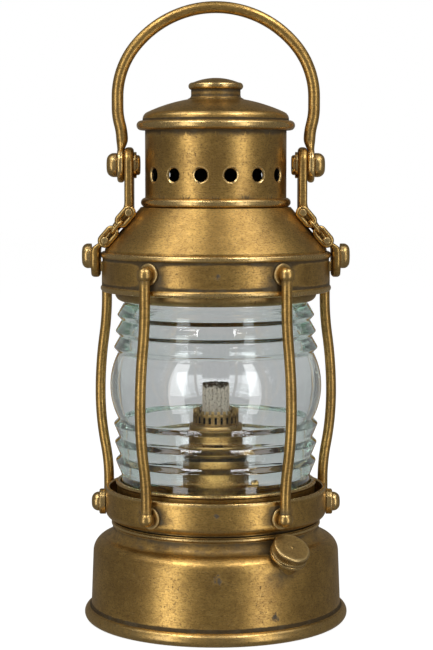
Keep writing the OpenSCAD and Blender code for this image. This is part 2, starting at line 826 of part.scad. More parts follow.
module gallery_screws() {
    shank = ring_r + gallery_washer_t - gallery_in_r - 0.2;
    color(bright_brass)
        both_sides()
            along_x(ring_r + gallery_washer_t, screw_z) {
                dome_head(gallery_head_r, gallery_head_h, 3.4);
                translate([0, 0, -shank]) cylinder(r = gallery_shank_r, h = shank + 1);
            }
}

module lens() {
    low_step = (lens_groove_r - lens_foot_r) / rib_count;
    top_step = (lens_groove_r - lens_neck_r - 1) / rib_count;
    low_groove = [for (i = [0 : rib_count]) [lens_foot_r + low_step * i, lens_low_z + lens_rib_low_h * i]];
    top_groove = [for (i = [0 : rib_count]) [lens_groove_r - top_step * i, belt_top_z + lens_rib_top_h * i]];
    outside = concat(
        [[lens_foot_r, lens_z]],
        [for (i = [0 : rib_count - 1])
            each rib(low_groove[i], low_groove[i + 1], lens_rib_low_h - lens_tip_h)],
        bulge(low_groove[rib_count], top_groove[0], lens_belt_r - lens_groove_r, 16),
        [for (i = [0 : rib_count - 1]) each rib(top_groove[i], top_groove[i + 1], lens_tip_h)],
        [top_groove[rib_count], [lens_neck_r, lens_neck_z + 0.8], [lens_neck_r, lens_top_z]]
    );
    inside = concat(
        [[lens_end_r, lens_z]],
        bulge([lens_belly_r, belt_low_z], [lens_belly_r, belt_top_z], lens_belt_r - lens_groove_r, 16),
        [[lens_belly_r, belt_top_z], [lens_end_r, lens_top_z]]
    );
    color(clear_glass) turned(concat(outside, backwards(inside)));
}

module glass_collar() {
    skirt_z = lens_neck_z + 1.4;
    color(dark_brass)
        turned(concat(
            [[collar_bore_r, skirt_z], [collar_bore_r + collar_lip, skirt_z]],
            arc([collar_bore_r + collar_lip, skirt_z + collar_flare_r], collar_flare_r, -70, 0, 8),
            [[collar_bore_r + collar_lip + collar_flare_r, collar_z], [band_in_r - 0.1, collar_z],
             [band_in_r - 0.1, collar_z + collar_t], [lens_end_r, collar_z + collar_t],
             [lens_end_r, collar_z], [collar_bore_r, collar_z]]
        ));
}

module hood_band() {
    color(brass)
        difference() {
            turned(concat(
                [[band_in_r - band_lip_w, band_z]],
                arc([bead_top_r - bead_r, band_z + bead_r], bead_r, -90, 60, 10),
                [[band_r, band_z + 2 * bead_r + bead_step], [band_r, band_top_z - 2 * bead_r - bead_step]],
                arc([bead_top_r - bead_r, band_top_z - bead_r], bead_r, -60, 90, 10),
                [[band_in_r, band_top_z], [band_in_r, band_z + band_lip_t],
                 [band_in_r - band_lip_w, band_z + band_lip_t]]
            ));
            both_sides()
                along_x(band_in_r - band_lip_w, ear_screw_z)
                    cylinder(r = ear_shank_r + run_fit, h = 2 * band_lip_w + bead_r + hood_wall);
            for (azimuth = rod_az)
                facing(azimuth)
                    along_x(band_in_r - band_lip_w, rod_top_z)
                        cylinder(r = stud_r + run_fit, h = 2 * band_lip_w + bead_r + hood_wall);
        }
}

module hood_cone() {
    in_step = hood_wall * sqrt(1 + pow(cone_run, 2));
    skirt_in_r = cone_skirt_r - hood_wall;
    skirt_z = band_top_z - cone_skirt_h;
    neck_in_z = cone_top_z - hood_wall;
    color(brass)
        difference() {
            turned([
                [skirt_in_r, skirt_z],
                [cone_skirt_r, skirt_z],
                [cone_skirt_r, band_top_z],
                [cone_low_r, cone_low_z],
                [drum_foot_r, cone_top_z],
                [drum_in_r - 0.5, cone_top_z],
                [drum_in_r - 0.5, neck_in_z],
                [cone_at(neck_in_z) - in_step, neck_in_z],
                [skirt_in_r, cone_top_z - (skirt_in_r + in_step - drum_foot_r) / cone_run]
            ]);
            both_sides()
                along_x(band_in_r - 6, ear_screw_z) cylinder(r = ear_nut_r + slip_fit, h = 10);
        }
}

module vent_drum() {
    vent_wide_r = vent_r + 2 * vent_bevel;
    color(brass)
        difference() {
            turned(concat(
                [[drum_in_r, cone_top_z], [drum_r, cone_top_z]],
                bulge([drum_r, cone_top_z + 0.02], [drum_r, cone_top_z + drum_foot_h],
                      drum_foot_out - 0.05, 12),
                [[drum_r, cone_top_z + drum_foot_h], [drum_r, drum_top_z], [drum_in_r, drum_top_z]]
            ));
            for (i = [0 : vent_count - 1])
                facing(180 + 360 * i / vent_count)
                    along_x(drum_r, cone_top_z + vent_h) {
                        translate([0, 0, -6]) cylinder(r = vent_r, h = 12, $fn = 32);
                        translate([0, 0, -vent_bevel])
                            cylinder(r1 = vent_r, r2 = vent_wide_r, h = 2 * vent_bevel, $fn = 32);
                    }
        }
}

module dome_lid() {
    crown_in_r = dome_crown_r - hood_wall;
    outside = concat(
        [[dome_skirt_r, drum_top_z - dome_skirt_h], [dome_skirt_r, drum_top_z]],
        arc([rim_mid_r, rim_mid_z], rim_bead_r, -90, 90, 14),
        [[dome_r, rim_top_z]],
        arc([dome_edge_mid_r, dome_edge_z], dome_edge_r, 0, dome_turn, 8),
        arc([0, dome_mid_z], dome_crown_r, dome_turn, acos(finial_stud_r / dome_crown_r), 12)
    );
    inside = concat(
        arc([0, dome_mid_z], crown_in_r, acos(finial_stud_r / crown_in_r), dome_turn, 12),
        arc([dome_edge_mid_r, dome_edge_z], dome_edge_r - hood_wall, dome_turn, 0, 8),
        [[dome_skirt_r - hood_wall, dome_edge_z - 1], [dome_skirt_r - hood_wall, drum_top_z - dome_skirt_h]]
    );
    color(brass) turned(concat(outside, inside));
}

module finial() {
    neck_top = finial_z + finial_neck_h;
    bead_top = neck_top + finial_bead_h;
    stud_r = finial_stud_r - run_fit;
    stud_low = finial_grip_z - finial_nut_t - 1;
    flare = 1.6;
    color(bright_brass)
        turned(concat(
            [[0, stud_low], [stud_r, stud_low], [stud_r, dome_mid_z + dome_crown_r],
             [stud_r + 2, dome_mid_z + dome_crown_r],
             [finial_neck_r + flare, finial_z - 0.1]],
            arc([finial_neck_r + flare, finial_z + flare + 0.1], flare, 265, 180, 6),
            bulge([finial_neck_r, neck_top], [finial_neck_r, bead_top], finial_bead_r - finial_neck_r, 10),
            arc([0, finial_top_z - finial_neck_r * 2.4], finial_neck_r * 2.4, 67, 90, 8)
        ));
}

module finial_nut() {
    color(dark_brass)
        translate([0, 0, finial_grip_z - finial_nut_t])
            difference() {
                cylinder(r = finial_nut_r, h = finial_nut_t, $fn = 6);
                translate([0, 0, -1]) cylinder(r = finial_stud_r, h = finial_nut_t + 2);
            }
}

// One half of a rod: an upright end, a reverse bend and half of the main bow, below (-1) or above (1)
module rod_half(end_at, end_z, straight, up) {
    rise = abs(end_z - rod_wide_z) - straight;
    out = rod_wide_at - end_at;
    lean = 2 * atan(out / rise);
    both = rise / sin(lean);
    main_r = main_share * both;
    small_r = both - main_r;
    knuckle(end_at, rod_wide_z + up * rise, rod_r);
    knuckle(rod_wide_at - main_r * (1 - cos(lean)), rod_wide_z + up * main_r * sin(lean), rod_r);
    bend(rod_wide_at - main_r, rod_wide_z, main_r, rod_r, up > 0 ? 0 : -lean, lean);
    bend(end_at + small_r, rod_wide_z + up * rise, small_r, rod_r, up > 0 ? 180 : 180 - lean, lean);
    upright(end_at, min(end_z, end_z - up * straight), max(end_z, end_z - up * straight), rod_r);
}

// Cut that lets a ball sit flat on its washer
module rod_flat(washer_at, z) {
    along_x(washer_at - ball_r, z) cylinder(r = rod_washer_r + side_fit, h = ball_r + rod_washer_t);
}

module guard_rod(azimuth) {
    color(brass)
        facing(azimuth)
            difference() {
                union() {
                    rod_half(rod_top_at, rod_top_z, rod_straight_top, 1);
                    rod_half(rod_low_at, rod_low_z, rod_straight_low, -1);
                    knuckle(rod_wide_at, rod_wide_z, rod_r);
                    translate([rod_top_at, 0, rod_top_z]) sphere(r = ball_r, $fn = 48);
                    translate([rod_low_at, 0, rod_low_z]) sphere(r = ball_r, $fn = 48);
                }
                rod_flat(washer_top_at, rod_top_z);
                rod_flat(washer_low_at, rod_low_z);
                along_x(washer_top_at, rod_top_z)
                    cylinder(r = stud_r + 0.02, h = rod_top_at + stud_in_ball - washer_top_at);
                along_x(washer_low_at, rod_low_z)
                    cylinder(r = stud_r + 0.02, h = rod_low_at + stud_in_ball - washer_low_at);
            }
}

module rod_washer(x, z) {
    along_x(x, z)
        difference() {
            dome_head(rod_washer_r, rod_washer_t, 0.5);
            translate([0, 0, -1]) cylinder(r = stud_r + run_fit, h = rod_washer_t + 2);
        }
}

module rod_washers() {
    color(bright_brass)
        for (azimuth = rod_az)
            facing(azimuth) {
                rod_washer(washer_top_at, rod_top_z);
                rod_washer(washer_low_at, rod_low_z);
            }
}

// Stud with its head against the inside of a wall
module rod_stud(wall_at, ball_at, z) {
    facing_wall = sqrt(pow(wall_at, 2) - pow(stud_head_r, 2));
    along_x(facing_wall - stud_head_t, z) {
        cylinder(r = stud_head_r, h = stud_head_t, $fn = 32);
        cylinder(r = stud_r, h = ball_at + stud_in_ball - 0.05 - facing_wall + stud_head_t);
    }
}

module rod_studs() {
    color(dark_brass)
        for (azimuth = rod_az)
            facing(azimuth) {
                rod_stud(band_in_r, rod_top_at, rod_top_z);
                rod_stud(ring_in_r, rod_low_at, rod_low_z);
            }
}

module ear() {
    outline = [
        [ear_out_x, pivot_z],
        [ear_out_x, ear_knee_z],
        [ear_neck_x, ear_neck_z],
        [tab_out_x, tab_top_z],
        [tab_out_x, tab_low_z],
        [tab_in_x, tab_low_z],
        [tab_in_x, tab_top_z],
        [ear_neck_x - 1.3, ear_neck_z - 2],
        [cone_at(ear_neck_z - 1) + ear_gap, ear_neck_z - 1],
        [ear_in_x, ear_foot_z],
        [ear_in_x, pivot_z]
    ];
    color(brass)
        difference() {
            union() {
                translate([0, ear_r, 0])
                    rotate([90, 0, 0])
                        linear_extrude(2 * ear_r)
                            polygon(outline);
                along_x(ear_in_x, pivot_z) cylinder(r = ear_r, h = ear_t);
                along_x(tab_in_x, tab_low_z) cylinder(r = ear_r, h = ear_t);
            }
            along_x(ear_in_x - 1, pivot_z) cylinder(r = pivot_r + run_fit, h = ear_t + 2);
            along_x(tab_in_x - 1, ear_screw_z) cylinder(r = ear_shank_r + run_fit, h = ear_t + 2);
            chain_pin_bores();
        }
}

module ear_right() {
    ear();
}

module ear_left() {
    mirror([1, 0, 0]) ear();
}

module ear_screws() {
    shank = tab_out_x - band_in_r + ear_nut_t + 1.4;
    color(bright_brass)
        both_sides()
            along_x(tab_out_x, ear_screw_z) {
                dome_head(ear_screw_head_r, ear_screw_head_h, 3);
                translate([0, 0, -shank]) cylinder(r = ear_shank_r, h = shank + 1);
            }
}

module ear_nuts() {
    nut_x = sqrt(pow(band_in_r, 2) - pow(ear_nut_r, 2)) - ear_nut_t;
    color(dark_brass)
        both_sides()
            along_x(nut_x, ear_screw_z)
                difference() {
                    cylinder(r = ear_nut_r, h = ear_nut_t, $fn = 6);
                    translate([0, 0, -1]) cylinder(r = ear_shank_r + 0.02, h = ear_nut_t + 2);
                }
}

// Chain frame: x runs down the strap, z stands away from the cone, y stays across the strap
module on_chain() {
    translate([chain_mid_x, chain_y, chain_mid_z])
        rotate([0, chain_lean, 0])
            children();
}

// Oval link in the XZ plane of the chain frame
module link(length) {
    half = length / 2 - link_w / 2;
    for (end = [-1, 1]) {
        bend(end * half, 0, link_bend_r, chain_wire_r, end > 0 ? -90 : 90, 180);
        along_x(-half, end * link_bend_r) cylinder(r = chain_wire_r, h = 2 * half, $fn = 32);
    }
}

// Places of the two pins, at the outer ends of the end links
module at_pins() {
    for (end = [-1, 1])
        on_chain()
            translate([end * (link_pitch / 2 + link_len / 2 - 2 * chain_wire_r - pin_r - 0.1), 0, 0])
                rotate([90, 0, 0])
                    children();
}

module chain_pin_bores() {
    at_pins() translate([0, 0, -pin_depth - 0.2]) cylinder(r = pin_r + 0.02, h = pin_depth + 1, $fn = 32);
}

module chain() {
    color(bright_brass)
        on_chain() {
            for (end = [-1, 1])
                translate([end * link_pitch / 2, 0, 0]) link(link_len);
            rotate([90, 0, 0]) link(link_mid_len);
        }
}

module chain_right() {
    chain();
}

module chain_left() {
    mirror([1, 0, 0]) chain();
}

module chain_pins() {
    color(dark_brass)
        both_sides()
            at_pins() {
                translate([0, 0, -pin_depth])
                    cylinder(r = pin_r, h = pin_depth + chain_wire_r + 0.2, $fn = 32);
                translate([0, 0, chain_wire_r + 0.1]) dome_head(pin_head_r, pin_head_t, 0.6);
            }
}

// Right half of the bail, in the XZ plane
module bail_half() {
    low_mid_x = bail_arm_x + bail_bend_r;
    high_mid_x = bail_half_w - bail_bend_r;
    s_mid_x = high_mid_x + bail_bend_r * cos(bail_bend_sweep);
    top_joint_x = bail_side_mid_x + bail_side_r * cos(bail_side_sweep);
    knuckle(top_joint_x, bail_spring_z + bail_side_r * sin(bail_side_sweep), bail_wire_r);
    knuckle(bail_half_w, bail_spring_z, bail_wire_r);
    knuckle(bail_half_w, bail_bend_z + bail_bend_h, bail_wire_r);
    knuckle(s_mid_x, bail_bend_z + bail_bend_h / 2, bail_wire_r);
    knuckle(bail_arm_x, bail_bend_z, bail_wire_r);
    bend(bail_side_mid_x, bail_spring_z, bail_side_r, bail_wire_r, 0, bail_side_sweep);
    upright(bail_half_w, bail_bend_z + bail_bend_h, bail_spring_z, bail_wire_r);
    bend(high_mid_x, bail_bend_z + bail_bend_h, bail_bend_r, bail_wire_r, -bail_bend_sweep, bail_bend_sweep);
    bend(low_mid_x, bail_bend_z, bail_bend_r, bail_wire_r, 180 - bail_bend_sweep, bail_bend_sweep);
    difference() {
        union() {
            upright(bail_arm_x, pivot_z + bail_eye_r - 2.5, bail_bend_z, bail_wire_r);
            along_x(bail_eye_x, pivot_z) cylinder(r = bail_eye_r, h = bail_eye_t);
        }
        translate([bail_eye_x - 10, -10, pivot_z - 10]) cube([10, 20, bail_flat_z - pivot_z + 10]);
        translate([bail_eye_out_x, -10, pivot_z - 10]) cube([10, 20, bail_flat_z - pivot_z + 10]);
        along_x(bail_eye_x - 1, pivot_z) cylinder(r = pivot_r + run_fit, h = bail_eye_t + 2);
    }
}

module bail() {
    color(brass) {
        bend(0, bail_top_mid_z, bail_top_r, bail_wire_r, bail_side_sweep, 180 - 2 * bail_side_sweep);
        both_sides() bail_half();
    }
}

module pivot_rivets() {
    tail_x = ear_in_x - rivet_washer_t;
    head_x = bail_eye_out_x + side_fit;
    color(bright_brass)
        both_sides() {
            along_x(tail_x - 0.5, pivot_z) cylinder(r = pivot_r, h = head_x - tail_x + 1);
            along_x(head_x, pivot_z) dome_head(rivet_head_r, rivet_head_h, 3.6);
            translate([tail_x, 0, pivot_z]) rotate([0, -90, 0]) dome_head(rivet_tail_r, rivet_tail_h, 1.2);
        }
}

module pivot_washers() {
    color(brass)
        both_sides()
            along_x(ear_in_x - rivet_washer_t, pivot_z)
                difference() {
                    cylinder(r = rivet_washer_r, h = rivet_washer_t);
                    translate([0, 0, -1]) cylinder(r = pivot_r + run_fit, h = rivet_washer_t + 2);
                }
}

font_body();
font_bottom();
filler_neck();
filler_gasket();
filler_cap();
burner_collar();
burner_body();
crown_collar();
burner_crown();
wick_tube();
wick();
wick_spindle();
wick_knob();
guard_ring();
glass_gallery();
gallery_washers();
gallery_screws();
lens();
glass_collar();
hood_band();
hood_cone();
vent_drum();
dome_lid();
finial();
finial_nut();
guard_rod(rod_az[0]);  // guard_rod_front_left
guard_rod(rod_az[1]);  // guard_rod_front_right
guard_rod(rod_az[2]);  // guard_rod_side_left
guard_rod(rod_az[3]);  // guard_rod_side_right
rod_washers();
rod_studs();
ear_left();
ear_right();
ear_screws();
ear_nuts();
chain_left();
chain_right();
chain_pins();
bail();
pivot_rivets();
pivot_washers();
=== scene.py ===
"""Looks of a brass oil lantern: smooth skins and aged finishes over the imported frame.

Lengths are millimetres until a skin becomes a mesh. +Z is up and the front faces -Y. Azimuths are
measured in degrees from the front, positive to the right.
"""

import logging
import math
from dataclasses import dataclass
from enum import Enum
from typing import Callable, Optional, Sequence, Union

import bmesh
import bpy
import numpy as np
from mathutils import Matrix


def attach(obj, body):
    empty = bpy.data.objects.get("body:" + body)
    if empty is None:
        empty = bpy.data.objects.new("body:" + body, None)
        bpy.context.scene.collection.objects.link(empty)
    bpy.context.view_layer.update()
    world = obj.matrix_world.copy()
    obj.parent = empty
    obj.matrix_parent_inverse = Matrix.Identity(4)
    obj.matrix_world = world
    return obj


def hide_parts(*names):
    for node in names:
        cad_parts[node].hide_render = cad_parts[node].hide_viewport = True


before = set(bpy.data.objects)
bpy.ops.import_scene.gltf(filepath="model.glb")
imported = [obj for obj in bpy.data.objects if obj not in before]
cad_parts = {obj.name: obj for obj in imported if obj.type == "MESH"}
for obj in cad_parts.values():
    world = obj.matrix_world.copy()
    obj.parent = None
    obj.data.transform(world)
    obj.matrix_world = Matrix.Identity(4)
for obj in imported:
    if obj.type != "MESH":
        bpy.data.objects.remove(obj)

LOG = logging.getLogger("lantern")

# A millimetre and the distance at which points are merged, in metres, and the angle between two
# faces from which their edge stays sharp.
MM = 0.001
WELD = 2e-6
SHARP_ANGLE = math.radians(42)

# Wear of a point: the most that an edge gets, the least that dirt and painted shade in hollows and at
# contacts leave, and that of soot. The wear of an outline's bend spreads along it by WEAR_REACH.
MOST_WEAR = 1.5
DEEPEST_DIRT_AND_SHADE = -1.15
SOOT = -1.5
WEAR_REACH = 0.9

# Fillets: a corner that turns less than CORNER stays, one that turns more than STEEPEST is rounded
# as that one, and a fillet takes at most FILLET_SHARE of a side.
CORNER = math.radians(20)
STEEPEST = 2.6
FILLET_SHARE = 0.45
FILLET_STEPS = 5
TINY = 1e-9
SAME_PLACE = 1e-6

# Sizes that several assemblies share.
PIVOT_Z = 227.9
ROD_TOP_Z = 176.1
ROD_AZIMUTHS = {"front_left": -34.0, "front_right": 34.0, "side_left": -112.0, "side_right": 112.0}
SIDES = (-90.0, 90.0)
LENS_BORE = 42.2
BELT_SPAN = (101.3, 134.7)

# Middle and radius of the dents that show most.
DINGS = (
    (1.1, -61.9, 31.6, 2.6),
    (28.3, -55.9, 12.3, 2.2),
    (1.0, -56.6, 175.1, 1.9),
    (0.5, -55.6, 61.1, 1.6),
)

Array = np.ndarray
Point = Sequence[float]
Pair = tuple[float, float]
Triple = tuple[float, float, float]
Sizes = tuple[float, ...]
Colour = tuple[float, float, float, float]
Shape = Callable[[Array, Array, Array], tuple[Array, Array]]


class Body(Enum):
    """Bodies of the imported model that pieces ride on."""

    BASE = "base"
    CAGE = "cage"
    BAIL = "bail"
    WICK_DRIVE = "wick_drive"
    WICK = "wick"
    FILLER_CAP = "filler_cap"


class Slot(Enum):
    """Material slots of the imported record."""

    AGED_BRASS = "aged_brass"
    WORN_BRASS = "worn_brass"
    DARK_BRASS = "dark_brass"
    LENS_GLASS = "lens_glass"
    WICK_COTTON = "wick_cotton"
    SEAL_RUBBER = "seal_rubber"


@dataclass
class Skin:
    """A closed surface: its points, its quads, and how worn (+) or hollow (-) each point is; hollow points
    get dirt and painted shade.
    """

    points: Array
    quads: Array
    wear: Array

    def placed(self, matrix: Array) -> "Skin":
        """The same skin moved by a 4x4 matrix."""
        return Skin(self.points @ matrix[:3, :3].T + matrix[:3, 3], self.quads, self.wear)

    def mirrored(self) -> "Skin":
        """The same skin reflected to the other side of the lantern."""
        return Skin(self.points * (-1, 1, 1), self.quads[:, ::-1], self.wear)

    def sooted(self, inside: Array) -> "Skin":
        """The skin with soot where a mask says that a point lies inside."""
        return Skin(self.points, self.quads, np.where(inside, SOOT, self.wear))

    def dirtied_and_shaded(self, dirt_and_shade: Array) -> "Skin":
        """The skin with its wear lowered by dirt and painted shade, which stops short of soot."""
        lowered = np.maximum(self.wear - dirt_and_shade, DEEPEST_DIRT_AND_SHADE)
        return Skin(self.points, self.quads, np.where(self.wear > DEEPEST_DIRT_AND_SHADE, lowered, self.wear))

    def grimed_and_shaded(self, spots: Array, reach: float) -> "Skin":
        """The skin with dirt and painted shade round contact spots.

        Args:
            spots: Places where other pieces touch, three numbers each.
            reach: Width of the bell by which the dirt and painted shade fade with the distance to the nearest
                spot.

        Returns:
            The skin, whose wear is lowered by that bell.
        """
        away = np.linalg.norm(self.points[:, None] - spots[None], axis=2).min(1)
        return self.dirtied_and_shaded(bell(away, reach))

    def lined(self, *lines: Triple) -> "Skin":
        """The skin with dirt and painted shade along level lines, where parts meet.

        Args:
            lines: Height of each line, the width of the bell by which its dirt and painted shade fade, and
                its depth.

        Returns:
            The skin, whose wear is lowered by those bells.
        """
        heights = self.points[:, 2]
        return self.dirtied_and_shaded(sum(depth * bell(heights - z, reach) for z, reach, depth in lines))

    def radii(self) -> Array:
        """Distance of each point from the lantern's axis."""
        return np.hypot(self.points[:, 0], self.points[:, 1])

    def both_sides(self) -> "Skin":
        """The skin with its reflection."""
        return joined([self, self.mirrored()])

    def outward(self) -> "Skin":
        """The skin with its faces turned outwards.

        Returns:
            The skin, with its faces reversed where the volume that they enclose counts as negative.
        """
        a, b, c, d = (self.points[self.quads[:, i]] for i in range(4))
        volume = np.sum(a * np.cross(b, c)) + np.sum(a * np.cross(c, d))
        return self if volume > 0 else Skin(self.points, self.quads[:, ::-1], self.wear)


def joined(skins: Sequence[Skin]) -> Skin:
    """Several skins as one, each with its own points.

    Args:
        skins: The skins to put together.

    Returns:
        One skin with all points and quads.
    """
    starts = np.cumsum([0] + [len(s.points) for s in skins])
    return Skin(
        np.concatenate([s.points for s in skins]),
        np.concatenate([s.quads + start for s, start in zip(skins, starts)]),
        np.concatenate([s.wear for s in skins]),
    )


def bell(away: Array, reach: float) -> Array:
    """Bell weight of a distance: 1 at 0 and exp(-1/2) at reach."""
    return np.exp(-0.5 * (away / reach) ** 2)


def ramp(away: Array, reach: float) -> Array:
    """Slope from 0 at 0 to 1 at reach, level on both sides."""
    return np.clip(away / reach, 0, 1)


def arc(mid: Point, radius: float, start: float, end: float, steps: int) -> list[Point]:
    """Points on a round arc, ends included.

    Args:
        mid: Middle of the arc.
        radius: Radius of the arc.
        start: First angle in degrees, from the first axis towards the second.
        end: Last angle in degrees.
        steps: Number of chords.

    Returns:
        The points mid + radius (cos a, sin a) for even steps of a.
    """
    a = np.radians(np.linspace(start, end, steps + 1))
    return list(zip(mid[0] + radius * np.cos(a), mid[1] + radius * np.sin(a)))


def bulge(p: Point, q: Point, rise: float, steps: int) -> list[Point]:
    """Points on an arc from p to q that stands out by rise on its right-hand side.

    Its radius is (chord^2 / 4 + rise^2) / (2 rise).

    Args:
        p: First end.
        q: Last end.
        rise: Height of the arc over its chord.
        steps: Number of chords.

    Returns:
        Points on the circle through p and q, both included.
    """
    chord = math.dist(p, q)
    radius = (chord * chord / 4 + rise * rise) / (2 * rise)
    out = ((q[1] - p[1]) / chord, (p[0] - q[0]) / chord)
    mid = tuple((p[i] + q[i]) / 2 + out[i] * (rise - radius) for i in (0, 1))
    half = math.degrees(math.asin(min(1.0, chord / 2 / radius)))
    heading = math.degrees(math.atan2(out[1], out[0]))
    return arc(mid, radius, heading - half, heading + half, steps)


def softened(outline: Sequence[Point], edge: float, closed: bool) -> Array:
    """An outline whose sharp corners are rounded.

    A corner that turns by more than CORNER becomes a quadratic curve. It leaves the corner's two sides
    at the tangent length of a fillet, edge times tan(turn / 2), and at FILLET_SHARE of a side at most.

    Args:
        outline: Corner points.
        edge: Radius of the fillets.
        closed: Whether the outline ends where it starts.

    Returns:
        The rounded outline as an array of points.
    """
    p = np.asarray(outline, float)
    before, after = np.roll(p, 1, 0) - p, np.roll(p, -1, 0) - p
    len_before, len_after = np.linalg.norm(before, axis=1), np.linalg.norm(after, axis=1)
    before /= np.maximum(len_before, TINY)[:, None]
    after /= np.maximum(len_after, TINY)[:, None]
    turn = math.pi - np.arccos(np.clip(np.sum(before * after, 1), -1, 1))
    longest = FILLET_SHARE * np.minimum(len_before, len_after)
    cut = np.minimum(edge * np.tan(np.minimum(turn, STEEPEST) / 2), longest)
    cut[turn < CORNER] = 0
    if not closed:
        cut[[0, -1]] = 0
    t = np.linspace(0, 1, FILLET_STEPS + 1)[None, :, None]
    a, b = (p + before * cut[:, None])[:, None], (p + after * cut[:, None])[:, None]
    curve = ((1 - t) ** 2 * a + 2 * t * (1 - t) * p[:, None] + t**2 * b).reshape(-1, p.shape[1])
    before_first = curve[-1:] if closed else curve[:1] - 1
    apart = np.linalg.norm(np.diff(curve, axis=0, prepend=before_first), axis=1)
    return curve[apart > SAME_PLACE]


def dense(line: Array, step: float, closed: bool) -> Array:
    """A line with points added so that no chord is longer than step.

    Args:
        line: Points of the line.
        step: Longest chord that stays.
        closed: Whether the line ends where it starts.

    Returns:
        The line with even points between the old ones.
    """
    ends = np.roll(line, -1, 0) if closed else line[1:]
    starts = line if closed else line[:-1]
    span = ends - starts
    count = np.maximum(1, np.ceil(np.linalg.norm(span, axis=1) / step)).astype(int)
    first = np.repeat(np.cumsum(count) - count, count)
    part = (np.arange(count.sum()) - first) / np.repeat(count, count)
    out = np.repeat(starts, count, 0) + part[:, None] * np.repeat(span, count, 0)
    return out if closed else np.vstack([out, line[-1:]])


def wear_of(line: Array, closed: bool) -> Array:
    """How much handling wears each point of an outline bright, or how dark its hollow is with dirt and
    painted shade.

    It is the turning angle of the outline summed with a bell weight over the distance along it, so a
    round edge or bead counts up to MOST_WEAR and an inner corner counts as much below 0, where dirt and shade
    are painted.

    Args:
        line: Points of the outline, walked with the material on the left.
        closed: Whether the outline ends where it starts.

    Returns:
        One value for each point.
    """
    ahead, behind = np.roll(line, -1, 0) - line, line - np.roll(line, 1, 0)
    cross = behind[:, 0] * ahead[:, 1] - behind[:, 1] * ahead[:, 0]
    turn = np.arctan2(cross, np.sum(ahead * behind, 1))
    length = np.linalg.norm(behind, axis=1)
    if not closed:
        turn[[0, -1]] = 0
        length[0] = 0
    along = np.cumsum(length)
    apart = np.abs(along[:, None] - along[None, :])
    if closed:
        apart = np.minimum(apart, along[-1] - apart)
    return np.clip(bell(apart, WEAR_REACH) @ turn, -MOST_WEAR, MOST_WEAR)


def grid_quads(rows: int, cols: int, loop_rows: bool, loop_cols: bool) -> Array:
    """Quads of a grid of points that are numbered row by row.

    Args:
        rows: Number of rows.
        cols: Number of points in a row.
        loop_rows: Whether the last row joins the first.
        loop_cols: Whether each row's end joins its start.

    Returns:
        Indices of four points for each quad.
    """
    r = np.arange(rows if loop_rows else rows - 1)[:, None]
    c = np.arange(cols if loop_cols else cols - 1)[None, :]
    r1, c1 = (r + 1) % rows, (c + 1) % cols
    return np.stack([r * cols + c, r * cols + c1, r1 * cols + c1, r1 * cols + c], -1).reshape(-1, 4)


def lathe(
    outline: Sequence[Point],
    edge: float,
    step: float,
    turns: int,
    closed: bool = True,
    shape: Optional[Shape] = None,
) -> Skin:
    """Carries a radius-height outline round the Z axis.

    The point at outline step i and angle a is (r_i cos a, r_i sin a, z_i), and shape may change r and
    z as functions of r, z and a first.

    Args:
        outline: Corner points (r, z), walked with the material on the left.
        edge: Radius of the fillets on sharp corners.
        step: Longest chord along the outline.
        turns: Number of steps round the axis.
        closed: False for an outline that starts and ends on the axis.
        shape: Function that changes r and z.

    Returns:
        The turned skin.
    """
    line = dense(softened(outline, edge, closed), step, closed)
    wear = wear_of(line, closed)
    a = np.linspace(0, 2 * math.pi, turns, endpoint=False)[None, :]
    r, z = (np.broadcast_to(line[:, i, None], (len(line), turns)) for i in (0, 1))
    if shape:
        r, z = shape(r, z, a)
    points = np.stack([r * np.cos(a), r * np.sin(a), z], -1).reshape(-1, 3)
    quads = grid_quads(len(line), turns, closed, True)
    return Skin(points, quads, np.repeat(wear, turns)).outward()


def tube(path: Array, half: Array, sides: int, closed: bool = False) -> Skin:
    """Carries an oval section along a path in the XZ plane.

    With t the path's direction, c the +Y direction and n = c x t, the point at path step i and angle a
    is path_i + half_n cos a n + half_c sin a c. Open ends close in a point.

    Args:
        path: Points of the path, three numbers each.
        half: Half sizes of the section, (along n, along c) for each point of the path.
        sides: Number of sides of the section.
        closed: Whether the path ends where it starts.

    Returns:
        The swept skin.
    """
    if closed:
        tangent = np.roll(path, -1, 0) - np.roll(path, 1, 0)
    else:
        tangent = np.gradient(path, axis=0)
    tangent /= np.linalg.norm(tangent, axis=1)[:, None]
    c = np.array([0.0, 1.0, 0.0])
    n = np.cross(c, tangent)
    if not closed:
        path, n = (np.concatenate([v[:1], v, v[-1:]]) for v in (path, n))
        half = np.concatenate([half[:1] * 0, half, half[-1:] * 0])
    a = np.linspace(0, 2 * math.pi, sides, endpoint=False)[None, :, None]
    ring = half[:, None, :1] * np.cos(a) * n[:, None] + half[:, None, 1:] * np.sin(a) * c
    points = (path[:, None] + ring).reshape(-1, 3)
    quads = grid_quads(len(path), sides, closed, True)
    return Skin(points, quads, np.zeros(len(points))).outward()


def wire(path: Array, radius: float, sides: int, closed: bool = False) -> Skin:
    """Round bar of one radius along a path in the XZ plane; see tube."""
    return tube(path, np.full((len(path), 2), radius), sides, closed)


def in_plane(points: Sequence[Point]) -> Array:
    """Points (x, z) as places on the XZ plane."""
    p = np.asarray(points, float)
    return np.stack([p[:, 0], np.zeros(len(p)), p[:, 1]], -1)


def moved(x: float = 0, y: float = 0, z: float = 0) -> Array:
    """Matrix of a shift.

    Args:
        x: Way along X.
        y: Way along Y.
        z: Way along Z.

    Returns:
        The 4x4 matrix.
    """
    m = np.eye(4)
    m[:3, 3] = x, y, z
    return m


